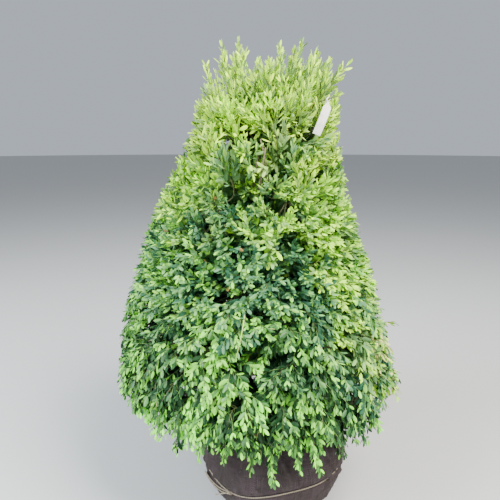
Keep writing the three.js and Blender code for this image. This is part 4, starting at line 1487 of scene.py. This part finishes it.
class BOXWOOD_OT_twigs(bpy.types.Operator):
    """Grows the twigs that carry the sprays, the young shoots on them, and the bare shoot and stems"""

    bl_idname = "boxwood.twigs"
    bl_label = "Twigs and shoots"

    def execute(self, context):
        settings = context.scene.boxwood
        colours = settings.colours
        spray, side, _, _ = grow_crown(settings)
        curve = (spray["foot"], spray["bend"], spray["tip"])
        twigs = curved_tubes(curve, spray["facing"], TWIG_FORM, TWIG_TAPER)
        finish = twig_finish("twig", colours.twig, colours.stem)
        add_piece("twigs", *joined([twigs, self.tag_twig()]), finish, "bark")
        curve = (side["root"], side["bend"], side["end"])
        shoots = curved_tubes(curve, side["facing"], SHOOT_FORM)
        add_piece("shoots", *shoots, twig_finish("shoot", colours.stem, colours.upper), "bark")
        stems = curved_tubes(BARE_STEMS.swapaxes(0, 1), ASLANT, BARE_STEM_FORM)
        finish = twig_finish("bare_stems", colours.twig, settings.trim.bark)
        add_piece("bare_stems", *stems, finish, "bark")
        bare = curved_tubes(BARE_SHOOT[:, None], ASLANT, BARE_SHOOT_FORM)
        finish = twig_finish("bare_shoot", colours.plume, colours.bleached)
        add_piece("bare_shoot", *bare, finish, "bark")
        return {"FINISHED"}

    def tag_twig(self):
        """The bare twig that the tag hangs on, from the nearest mass to just past the tag's loop."""
        start, hang = tag_twig_line()
        end = hang + unit(hang - start) * TAG_TWIG_PAST
        curve = np.stack([start, mix(start, end, 0.5), end])[:, None]
        return curved_tubes(curve, UP, TAG_TWIG_FORM)


def twig_finish(name, low, high):
    """Twig bark between two colours, in fine lengthwise flecks."""
    finish = Finish(name, roughness=0.7)
    flecks = finish.noise(finish.place(), scale=220.0, detail=2.0)
    finish.set("Base Color", finish.blend(flecks.between(0.35, 0.7), opaque(low), opaque(high)))
    return finish.material


def bark_finish(colour):
    """Corky bark: pale ridges, furrows along the limb that are darker, partly as the bark's own colour
    and partly as painted shade, and grey weathering in patches.
    """
    finish = Finish("bark", roughness=0.85)
    lengthwise = finish.stretch(finish.place("UV"), along=260.0, up=42.0)
    ridges = finish.noise(lengthwise, scale=1.0, detail=5.0, roughness=0.62)
    patches = finish.noise(finish.place(), scale=38.0)
    # Furrows darkened partly as the bark's own colour and partly as painted shade
    furrow_bark_and_shade = tuple(channel * 0.32 for channel in colour)
    grey = tuple(mix(channel, 0.24, 0.5) for channel in colour)
    toned = finish.blend(patches.between(0.4, 0.65), opaque(colour), opaque(grey))
    finish.set("Base Color", finish.blend(ridges.between(0.36, 0.6), opaque(furrow_bark_and_shade), toned))
    finish.bump(ridges, distance=0.0016)
    return finish.material


def limb_surface(paths, radii, sides, relief, seed):
    """Closed limbs with bark relief: a tube whose every point moves out by the relief times bumps
    that are long along the limb. UV is the way round and the way along, in metres."""
    vertices, faces = tubes(paths, radii, np.tile(BARK_SIDE, (len(paths), 1)), sides)
    count, steps = paths.shape[:2]
    grid = vertices.reshape(count, steps, sides, 3)
    out = unit(grid - paths[:, :, None])
    lengthways = grid * BARK_LENGTHWAYS
    raised = bumps(lengthways, BARK_WAVE, seed)
    raised = raised + BARK_FINE_SHARE * bumps(lengthways, BARK_FINE_WAVE, seed + 1)
    grid = grid + out * (relief * raised)[..., None] * (radii / radii.max())[:, :, None, None]
    around = np.linspace(0, 1, sides, endpoint=False) * 2 * math.pi
    far = np.cumsum(np.linalg.norm(np.diff(paths, axis=1, prepend=paths[:, :1]), axis=2), axis=1)
    uv = np.stack(np.broadcast_arrays(around * radii[:, :, None], far[:, :, None]), -1)
    return grid.reshape(-1, 3), faces, uv.reshape(-1, 2)


class BOXWOOD_OT_trunk(bpy.types.Operator):
    """Makes the trunk, with its root flare and bark relief"""

    bl_idname = "boxwood.trunk"
    bl_label = "Trunk"

    def execute(self, context):
        steps, *bark = TRUNK_BARK
        share = np.linspace(0, 1, steps)
        paths = trunk_point(share)[None]
        vertices, faces, uv = limb_surface(paths, trunk_radius(share)[None], *bark)
        turn = np.arctan2(vertices[:, 1], vertices[:, 0])
        flare = np.maximum(0, 1 - (vertices[:, 2] - TRUNK_FOOT_LEVEL) / FLARE_HEIGHT) ** 2
        share_of_radius, count, first = FLARE_LOBES
        vertices[:, :2] *= (1 + share_of_radius * flare * np.cos(count * turn + first))[:, None]
        vertices[:, 2] = np.maximum(vertices[:, 2], TRUNK_FOOT_LEVEL)
        finish = bark_finish(context.scene.boxwood.trim.bark)
        add_piece("trunk_bark", vertices, faces, finish, "bark", ["trunk"], uv)
        return {"FINISHED"}


class BOXWOOD_OT_boughs(bpy.types.Operator):
    """Makes the boughs, each with the stem that carries it on into its mass of foliage"""

    bl_idname = "boxwood.boughs"
    bl_label = "Boughs"

    def execute(self, context):
        keys = ("start", "bend", "end", "centre", "radius")
        start, bend, end, centre, radius = (np.array([mass[key] for mass in MASSES]) for key in keys)
        steps, *bark = BOUGH_BARK
        share = np.tile(np.linspace(0, 1, steps), (len(MASSES), 1))
        bough = bezier(start, bend, end, share)
        stem = mix(end[:, None], centre[:, None], np.linspace(STEM_FROM, 1, STEM_STEPS)[None, :, None])
        paths = np.concatenate([bough, stem], 1)
        along = np.linspace(0, 1, paths.shape[1])
        taper = np.interp(along, (0, STEM_TAPER_FROM, 1), (1, BOUGH_TAPER, BOUGH_TAPER * STEM_TIP))
        vertices, faces, uv = limb_surface(paths, radius[:, None] * taper, *bark)
        finish = bark_finish(context.scene.boxwood.trim.bark)
        add_piece("bough_bark", vertices, faces, finish, "bark", BOUGH_NODES, uv)
        return {"FINISHED"}


# Root ball

def twine_level(azimuth):
    """The twine's level round the ball, with the dip as a bell curve."""
    away = (np.degrees(azimuth) - TWINE_DIP_AZIMUTH + 180) % 360 - 180
    return TWINE_LEVEL - TWINE_DIP * bell(away, TWINE_DIP_SPREAD)


def from_fold(azimuth, place, slant):
    """The turn from a fold's slanting line to an azimuth, between -pi and pi."""
    return (azimuth - place - slant + math.pi) % (2 * math.pi) - math.pi


def cloth_folds(level, azimuth, ball):
    """How far the cloth stands out: pleats that grow towards the gathered top, slanting creases
    that run to the twine, bulges beside it, and the groove that it pulls in. Each of them is a
    bell curve across its own line."""
    draw = np.random.default_rng(FOLD_SEED)
    height = np.zeros(np.broadcast(level, azimuth).shape)
    for _ in range(PLEATS):
        place, width = draw.uniform(-math.pi, math.pi), draw.uniform(*PLEAT_WIDTHS)
        lean, tall = draw.normal(0, PLEAT_SLANT), draw.uniform(*FOLD_HEIGHTS)
        away = from_fold(azimuth, place, lean * (level - BALL_CENTRE_LEVEL))
        reach = np.clip((level - draw.uniform(*PLEAT_FEET)) / PLEAT_GROWTH, 0, 1)
        height += ball.pleat * tall * reach * bell(away, width)
    under = level - twine_level(azimuth)
    for _ in range(CREASES):
        place, width = draw.uniform(-math.pi, math.pi), draw.uniform(*CREASE_WIDTHS)
        lean, tall = draw.normal(0, CREASE_SLANT), draw.uniform(*FOLD_HEIGHTS)
        away = from_fold(azimuth, place, lean * under)
        reach = bell(under, draw.uniform(*CREASE_REACHES))
        height += ball.crease * tall * bell(away, width) * reach
    height += BULGE_HEIGHT * bell(np.abs(under) - BULGE_AWAY, BULGE_REACH)
    pinched = bell(under, GROOVE_REACH)
    return height * (1 - GROOVE_FLATNESS * pinched) - GROOVE_DEPTH * pinched


def ball_profile():
    """The cloth from the middle of the underside, round the foot and up the ball, in to the
    trunk, up a short gathered collar and down inside it, as rows of (radius, level)."""
    flat = np.linspace(0.0, ball_radius(0.0, 0.0) - UNDERSIDE_INSET, UNDERSIDE_ROWS)
    underside = np.column_stack([flat, np.zeros(UNDERSIDE_ROWS)])
    levels = mix(SIDE_MARGIN, BALL_TOP - SIDE_MARGIN, np.linspace(0, 1, SIDE_ROWS))
    side = np.column_stack([round_radius(levels), levels])
    return np.concatenate([underside, side, COLLAR])


def turned(radii, levels, azimuth):
    """Points at each radius and level (rows) and azimuth (columns)."""
    flat = np.broadcast_to(levels, radii.shape)
    return np.stack([radii * np.cos(azimuth), radii * np.sin(azimuth), flat], -1)


def burlap_surface(profile, azimuth, ball):
    """The cloth's points: the profile turned round with the ball's lobes, moved out by the folds
    on the side or by the ruffle at the collar, then crumpled everywhere but at the twine."""
    levels = profile[:, 1:2]
    on_side = np.clip(levels / RELIEF_LEVEL, 0, 1)
    at_collar = np.clip((levels - COLLAR_FROM) / COLLAR_BLEND, 0, 1)
    (high, count), (low, fine_count) = RUFFLES
    sway, sway_count = RUFFLE_SWAY
    ruffle = high * np.sin(count * azimuth + sway * np.sin(sway_count * azimuth))
    ruffle = ruffle + low * np.sin(fine_count * azimuth)
    folds = cloth_folds(levels, azimuth, ball)
    radii = profile[:, 0:1] * (1 + lobes(azimuth) * (1 - at_collar))
    radii = radii + on_side * (folds * (1 - at_collar) + ruffle * at_collar)
    points = turned(radii, levels, azimuth)
    crumple = sum(bumps(points, wavelength, seed) * height for wavelength, seed, height in CRUMPLES)
    crumple = crumple * (1 - bell(levels - twine_level(azimuth), GROOVE_SMOOTH_REACH))
    out = turned(np.ones_like(radii), np.zeros_like(levels), azimuth)
    return points + out * (crumple * on_side)[..., None]


class BOXWOOD_OT_root_ball(bpy.types.Operator):
    """Makes the burlap round the root ball, gathered at the trunk, with loose threads"""

    bl_idname = "boxwood.root_ball"
    bl_label = "Root ball"

    def execute(self, context):
        ball = context.scene.boxwood.ball
        first, *middle, last = ball_profile()
        profile = np.array(middle)
        columns = BURLAP_COLUMNS
        azimuth = np.linspace(0, 2 * math.pi, columns, endpoint=False)
        vertices = burlap_surface(profile, azimuth, ball)
        poles = np.array(((0, 0, first[1]), (0, 0, last[1])))
        index = np.arange(len(profile) * columns).reshape(-1, columns)
        foot, top = index.size, index.size + 1
        bottom = np.stack([np.full(columns, foot), np.roll(index[0], -1), index[0]], -1)
        cap = np.stack([np.full(columns, top), index[-1], np.roll(index[-1], -1)], -1)
        faces = [wall_faces(index), bottom, cap]
        far = np.cumsum(np.linalg.norm(np.diff(profile, axis=0, prepend=profile[:1]), axis=1))
        uv = np.stack(np.broadcast_arrays(azimuth[None] * BALL_RADIUS, far[:, None]), -1).reshape(-1, 2)
        uv = np.concatenate([uv, np.zeros((len(poles), 2))])
        vertices = np.concatenate([vertices.reshape(-1, 3), poles])
        add_piece("burlap", vertices, faces, burlap_finish(ball), "burlap", ["root_ball"], uv)
        pairs = zip(ball.burlap, ball.straw)
        jute = tuple(mix(channel, straw, THREAD_PALENESS) for channel, straw in pairs)
        finish = straw_finish("jute_thread", jute, 0.6)
        add_piece("loose_threads", *self.loose_threads(ball), finish, "burlap")
        return {"FINISHED"}

    def loose_threads(self, ball):
        """Short frayed threads that lie on the cloth and lift off it in the middle."""
        draw = np.random.default_rng(THREAD_SEED)
        azimuth = draw.uniform(-math.pi, math.pi, THREADS)
        level = draw.uniform(*THREAD_LEVELS, THREADS)
        slant = draw.uniform(0, 2 * math.pi, THREADS)[:, None]
        length = draw.uniform(*THREAD_LENGTHS, THREADS)[:, None]
        share = np.linspace(-0.5, 0.5, THREAD_STEPS)
        wave = draw.normal(0, THREAD_WAVE, (THREADS, 1)) * (share**2) * 4
        sideways = (np.cos(slant) * share + wave * THREAD_WAVE_ROUND) * length
        turn = azimuth[:, None] + sideways / BALL_RADIUS
        height = level[:, None] + (np.sin(slant) * share + wave * THREAD_WAVE_UP) * length
        lift = THREAD_LIFT + THREAD_ARCH * draw.random((THREADS, 1)) * (1 - (2 * share) ** 2)
        radius = ball_radius(height, turn) + cloth_folds(height, turn, ball) + lift
        paths = np.stack([radius * np.cos(turn), radius * np.sin(turn), height], -1)
        girth = np.full(paths.shape[:2], THREAD_RADIUS)
        return tubes(paths, girth, level_directions(azimuth), THREAD_SIDES)


def burlap_finish(ball):
    """Plain weave in the cloth's own UV, uneven threads, soil stains and a purplish cast."""
    finish = Finish("burlap", roughness=0.95)
    uv = finish.place("UV")
    spot = finish.place()
    sway = finish.noise(spot, scale=70.0, detail=2.0) * 1.6
    turn = math.pi / ball.weave
    across = finish.axis(uv, 0) * turn + sway
    up = finish.axis(uv, 1) * turn + sway
    over = across.sine() * up.sine()
    slub = finish.slubs(uv, along=18.0, up=520.0)
    slub_up = finish.slubs(uv, along=520.0, up=18.0)
    warp = up.sine().size() * (0.62 + over * 0.38) * (0.45 + slub * 0.8)
    weft = across.sine().size() * (0.62 - over * 0.38) * (0.45 + slub_up * 0.8)
    threads = warp.highest(weft)
    fibre = finish.noise(spot, scale=900.0, detail=2.0)
    stains = finish.noise(spot, scale=11.0, detail=6.0, roughness=0.65)
    patches = finish.noise(spot, scale=30.0, detail=5.0, roughness=0.6)
    soiled = stains.between(0.40, 0.62)
    pale = tuple(min(1.0, channel * 2.6) for channel in ball.burlap)
    purple = (ball.burlap[0] * 1.05, ball.burlap[1] * 0.80, ball.burlap[2] * 1.10)
    cloth = finish.blend(patches.between(0.40, 0.60), opaque(ball.burlap), opaque(purple))
    cloth = finish.blend((1 - soiled) * threads.between(0.45, 0.95), cloth, opaque(pale))
    cloth = finish.blend(soiled * 0.6, cloth, opaque(ball.soil))
    finish.set("Base Color", finish.blend(threads.between(0.12, 0.60), opaque(ball.soil), cloth))
    finish.bump(threads + fibre * 0.25, distance=0.0009)
    return finish.material


def straw_finish(name, colour, darker):
    """Dry plant fibre with darker flecks."""
    finish = Finish(name, roughness=0.85)
    flecks = finish.noise(finish.place(), scale=420.0)
    dark = tuple(channel * darker for channel in colour)
    finish.set("Base Color", finish.blend(flecks.between(0.35, 0.65), opaque(dark), opaque(colour)))
    finish.bump(flecks, distance=0.0004)
    return finish.material


class BOXWOOD_OT_twine(bpy.types.Operator):
    """Makes the two-strand twine round the ball, its knot and its loose ends"""

    bl_idname = "boxwood.twine"
    bl_label = "Twine"

    def execute(self, context):
        ball = context.scene.boxwood.ball
        parts = [self.laid(self.ring(), ball.strand)]
        parts.extend(self.laid(path, ball.strand * LOOSE_GIRTH) for path in self.loose_ends())
        parts.append(self.laid(self.knot(), ball.strand))
        finish = straw_finish("twine", ball.straw, 0.55)
        add_piece("twine_strands", *joined(parts), finish, "twine", ["twine"])
        return {"FINISHED"}

    def on_ball(self, degrees, level, lift):
        """Points at azimuths and levels on the ball, lifted off the cloth."""
        azimuth = np.radians(degrees)
        radius = ball_radius(level, azimuth) + lift
        return np.stack([radius * np.cos(azimuth), radius * np.sin(azimuth), level], -1)

    def ring(self):
        """Once round the ball along the twine's level, wavering a little."""
        degrees = np.linspace(0, 360, RING_STEPS)
        height, count = RING_WAVER
        level = twine_level(np.radians(degrees)) + height * np.sin(np.radians(degrees) * count)
        return self.on_ball(degrees, level, RING_LIFT)

    def loose_ends(self):
        """A springy loop that stands off the ball to the left of the knot, and an end that hangs
        down from it. `away` is 0 at the knot and 1 at the loop's far end."""
        turn = np.linspace(0, 2 * math.pi, LOOP_STEPS)
        away = (1 - np.cos(turn)) / 2
        loop_level = KNOT_LEVEL + LOOP_RISE * away**2 - LOOP_SAG * np.sin(math.pi * away)
        loop_level = loop_level + LOOP_OPENING * np.sin(turn)
        near, further = LOOP_STAND
        loop = self.on_ball(KNOT_AZIMUTH - LOOP_TURN * away, loop_level, near + further * away)
        share = np.linspace(0, 1, END_STEPS)
        end_level = KNOT_LEVEL - END_DROP * share**END_CURVE
        near, further = END_STAND
        end = self.on_ball(KNOT_AZIMUTH - END_TURN * share, end_level, near + further * share)
        return loop, end

    def knot(self):
        """Small turns round the twine where the ends meet."""
        share = np.linspace(0, 1, KNOT_STEPS)
        angle = share * KNOT_TURNS * 2 * math.pi
        return self.on_ball(
            KNOT_AZIMUTH + KNOT_SPREAD * (share - 0.5),
            KNOT_LEVEL + KNOT_HEIGHT * np.cos(angle),
            KNOT_STAND + KNOT_REACH * np.sin(angle),
        )

    def laid(self, path, radius):
        """Two strands wound round each other along a path, one turn in each lay's length."""
        along = tangents(path)
        side = square_to(np.broadcast_to(STRAND_SIDE, path.shape), along)
        across = np.cross(along, side)
        far = np.cumsum(np.linalg.norm(np.diff(path, axis=0, prepend=path[:1]), axis=1))
        angle = far * 2 * math.pi / STRAND_LAY
        wound = side * np.cos(angle)[:, None] + across * np.sin(angle)[:, None]
        apart = wound * radius * STRAND_APART
        paths = np.stack([path + apart, path - apart])
        girth = np.full(paths.shape[:2], radius)
        return tubes(paths, girth, np.tile(STRAND_SIDE, (2, 1)), STRAND_SIDES)


class BOXWOOD_OT_tag(bpy.types.Operator):
    """Makes the blank tag: a bent card, a strap looped round its twig, and the strap's tail"""

    bl_idname = "boxwood.tag"
    bl_label = "Tag"

    def execute(self, context):
        trim = context.scene.boxwood.trim
        up = unit(TAG_TOP - TAG_FOOT)
        right = -unit(np.cross(TAG_FACING, up))
        out = np.cross(right, up)
        card = sheet_shell(self.card(up, right, out), out, trim.thickness)
        neck_shift = TAG_WIDTH / 2 * (CARD_RIGHT[-1] - CARD_LEFT[-1]) / 2
        strap = self.strap(TAG_TOP + right * neck_shift - out * CARD_LEAN, up, trim)
        add_piece("tag_card", *joined([card, strap]), tag_finish(trim.card), "tag", ["tag"])
        return {"FINISHED"}

    def card(self, up, right, out):
        """The card's front: a plate that narrows unevenly to its neck, bowed by a sine up it, with
        edges curled by the distance from the middle squared."""
        rows, columns = CARD_GRID
        share = np.linspace(0, 1, rows)[:, None]
        across = np.linspace(-1, 1, columns)[None]
        right_edge = np.interp(share, CARD_STATIONS, CARD_RIGHT)
        left_edge = np.interp(share, CARD_STATIONS, CARD_LEFT)
        half = TAG_WIDTH / 2 * np.where(across > 0, right_edge, left_edge)
        bow = CARD_BOW * np.sin(share * math.pi) + CARD_CURL * across**2 - CARD_LEAN * share
        length = np.linalg.norm(TAG_TOP - TAG_FOOT)
        points = TAG_FOOT + up * (share * length)[..., None] + right * (half * across)[..., None]
        return points + out * bow[..., None]

    def strap(self, neck, up, trim):
        """A strap from the card's neck once round the twig, widening into a loose tail that is
        drawn aside along the twig."""
        foot, hang = tag_twig_line()
        along = unit(hang - foot)
        rise = square_to(up, along)
        front = np.cross(rise, along)
        rows, columns = STRAP_GRID
        share = np.linspace(0, 1, rows)[:, None]
        angle = math.radians(STRAP_START) + share * math.radians(STRAP_TURN)
        radius = STRAP_RADIUS + STRAP_WIDENING * np.clip(share - STRAP_WIDENS_FROM, 0, 1) ** 2
        aside = -STRAP_ASIDE * np.clip(share - STRAP_ASIDE_FROM, 0, 1) ** STRAP_ASIDE_CURVE
        aside = aside + ((neck - hang) @ along) * (1 - share)
        width = np.linspace(-1, 1, columns)[None] * STRAP_HALF_WIDTH
        spread = (aside + width)[..., None] * along
        turned_out = front * np.cos(angle)[..., None] + rise * np.sin(angle)[..., None]
        loop = hang + turned_out * radius[..., None] + spread
        near = STRAP_ROWS_AT_NECK
        loop[:near] = mix(loop[:near], neck + width[..., None] * along, STRAP_TO_NECK)
        return sheet_shell(loop, np.broadcast_to(turned_out, loop.shape), trim.thickness * STRAP_THICKNESS)


def tag_twig_line():
    """Where the tag's twig leaves the nearest mass, and where the tag hangs on it."""
    centres = np.array([mass["centre"] for mass in MASSES])
    foot = centres[np.linalg.norm(centres - TAG_TOP, axis=1).argmin()]
    return foot, TAG_TOP + unit(TAG_TOP - TAG_FOOT) * TAG_HANG


def sheet_shell(points, normals, thickness):
    """A grid of points (rows, columns, 3) as a closed thin sheet: the grid, its copy a thickness
    behind it, and a wall along the edge."""
    rows, columns = points.shape[:2]
    back = points - np.broadcast_to(normals, points.shape) * thickness
    index = np.arange(rows * columns).reshape(rows, columns)
    front = np.stack([index[:-1, :-1], index[:-1, 1:], index[1:, 1:], index[1:, :-1]], -1).reshape(-1, 4)
    behind = front[:, ::-1] + rows * columns
    rim = np.concatenate([index[0], index[1:, -1], index[-1, -2::-1], index[-2:0:-1, 0]])
    after = np.roll(rim, -1)
    wall = np.stack([after, rim, rim + rows * columns, after + rows * columns], -1)
    vertices = np.concatenate([points.reshape(-1, 3), back.reshape(-1, 3)])
    return vertices, [np.concatenate([front, behind, wall])]


def tag_finish(colour):
    """Satin card with faint grey smudges and fine grain."""
    finish = Finish("tag_card", roughness=0.5)
    smudge = finish.noise(finish.place(), scale=70.0, detail=4.0)
    grey = tuple(channel * 0.8 for channel in colour)
    finish.set("Base Color", finish.blend(smudge.between(0.5, 0.75), opaque(colour), opaque(grey)))
    finish.bump(finish.noise(finish.place(), scale=900.0, detail=2.0), distance=0.0001)
    return finish.material


class BOXWOOD_OT_stage(bpy.types.Operator):
    """Sets a pale floor, soft light and the camera at the photograph's angle"""

    bl_idname = "boxwood.stage"
    bl_label = "Stage"

    def execute(self, context):
        stage = context.scene.boxwood.stage
        mesh = bpy.data.meshes.new("floor")
        turn = np.linspace(0, 2 * math.pi, FLOOR_SIDES, endpoint=False)
        rim = [(FLOOR_RADIUS * math.cos(a), FLOOR_RADIUS * math.sin(a), FLOOR_LEVEL) for a in turn]
        mesh.from_pydata(rim, [], [tuple(range(FLOOR_SIDES))])
        floor = bpy.data.objects.new("floor", mesh)
        context.scene.collection.objects.link(floor)
        finish = Finish("floor", base_color=opaque(stage.floor), roughness=0.9)
        mesh.materials.append(finish.material)
        world = bpy.data.worlds.new("soft_sky")
        world.use_nodes = True
        sky = next(n for n in world.node_tree.nodes if n.type == "BACKGROUND")
        sky.inputs["Color"].default_value = opaque(stage.sky)
        sky.inputs["Strength"].default_value = stage.sky_strength
        context.scene.world = world
        self.lamp(context, "key", *KEY_LIGHT, stage.key)
        self.lamp(context, "fill", *FILL_LIGHT, stage.key * FILL_SHARE)
        self.camera(context, stage)
        return {"FINISHED"}

    def lamp(self, context, name, place, size, colour, watts):
        """A square light that faces the middle of the crown."""
        data = bpy.data.lights.new(name, "AREA")
        data.size = size
        data.energy = watts
        data.color = colour
        lamp = bpy.data.objects.new(name, data)
        lamp.location = place
        aim = unit(np.array(LIGHT_AIM) - np.array(place))
        lamp.rotation_euler = (math.acos(-aim[2]), 0, math.atan2(aim[1], aim[0]) - math.pi / 2)
        context.scene.collection.objects.link(lamp)

    def camera(self, context, stage):
        """A lens as long as the sensor is wide, in front of the plant and above its middle."""
        data = bpy.data.cameras.new("camera")
        data.lens = LENS
        data.sensor_width = LENS
        camera = bpy.data.objects.new("camera", data)
        camera.location = (0, -stage.distance, stage.height)
        camera.rotation_euler = (math.pi / 2 - stage.pitch, 0, stage.yaw)
        context.scene.collection.objects.link(camera)
        context.scene.camera = camera


OPERATORS = (
    BOXWOOD_OT_root_ball,
    BOXWOOD_OT_twine,
    BOXWOOD_OT_trunk,
    BOXWOOD_OT_boughs,
    BOXWOOD_OT_twigs,
    BOXWOOD_OT_leaves,
    BOXWOOD_OT_tag,
    BOXWOOD_OT_stage,
)


class BOXWOOD_PT_panel(bpy.types.Panel):
    """Lists the steps that make the plant"""

    bl_label = "Boxwood"
    bl_idname = "BOXWOOD_PT_panel"
    bl_space_type = "VIEW_3D"
    bl_region_type = "UI"
    bl_category = "Boxwood"

    def draw(self, context):
        for operator in OPERATORS:
            self.layout.operator(operator.bl_idname)
        for group in ("crown", "leaf", "colours", "ball", "trim", "stage"):
            settings = getattr(context.scene.boxwood, group)
            box = self.layout.box()
            for name in settings.__annotations__:
                box.prop(settings, name)


CLASSES = (
    BoxwoodCrown,
    BoxwoodLeaf,
    BoxwoodColours,
    BoxwoodBall,
    BoxwoodTrim,
    BoxwoodStage,
    BoxwoodSettings,
    *OPERATORS,
    BOXWOOD_PT_panel,
)


def register():
    """Adds the classes, and the settings to each scene."""
    for item in CLASSES:
        bpy.utils.register_class(item)
    bpy.types.Scene.boxwood = bpy.props.PointerProperty(type=BoxwoodSettings)


def unregister():
    """Takes the settings and the classes away again."""
    del bpy.types.Scene.boxwood
    for item in reversed(CLASSES):
        bpy.utils.unregister_class(item)


def main():
    """Makes the whole plant and its stage."""
    register()
    bpy.ops.boxwood.root_ball()
    bpy.ops.boxwood.twine()
    bpy.ops.boxwood.trunk()
    bpy.ops.boxwood.boughs()
    bpy.ops.boxwood.twigs()
    bpy.ops.boxwood.leaves()
    bpy.ops.boxwood.tag()
    bpy.ops.boxwood.stage()


if __name__ == "__main__":
    main()
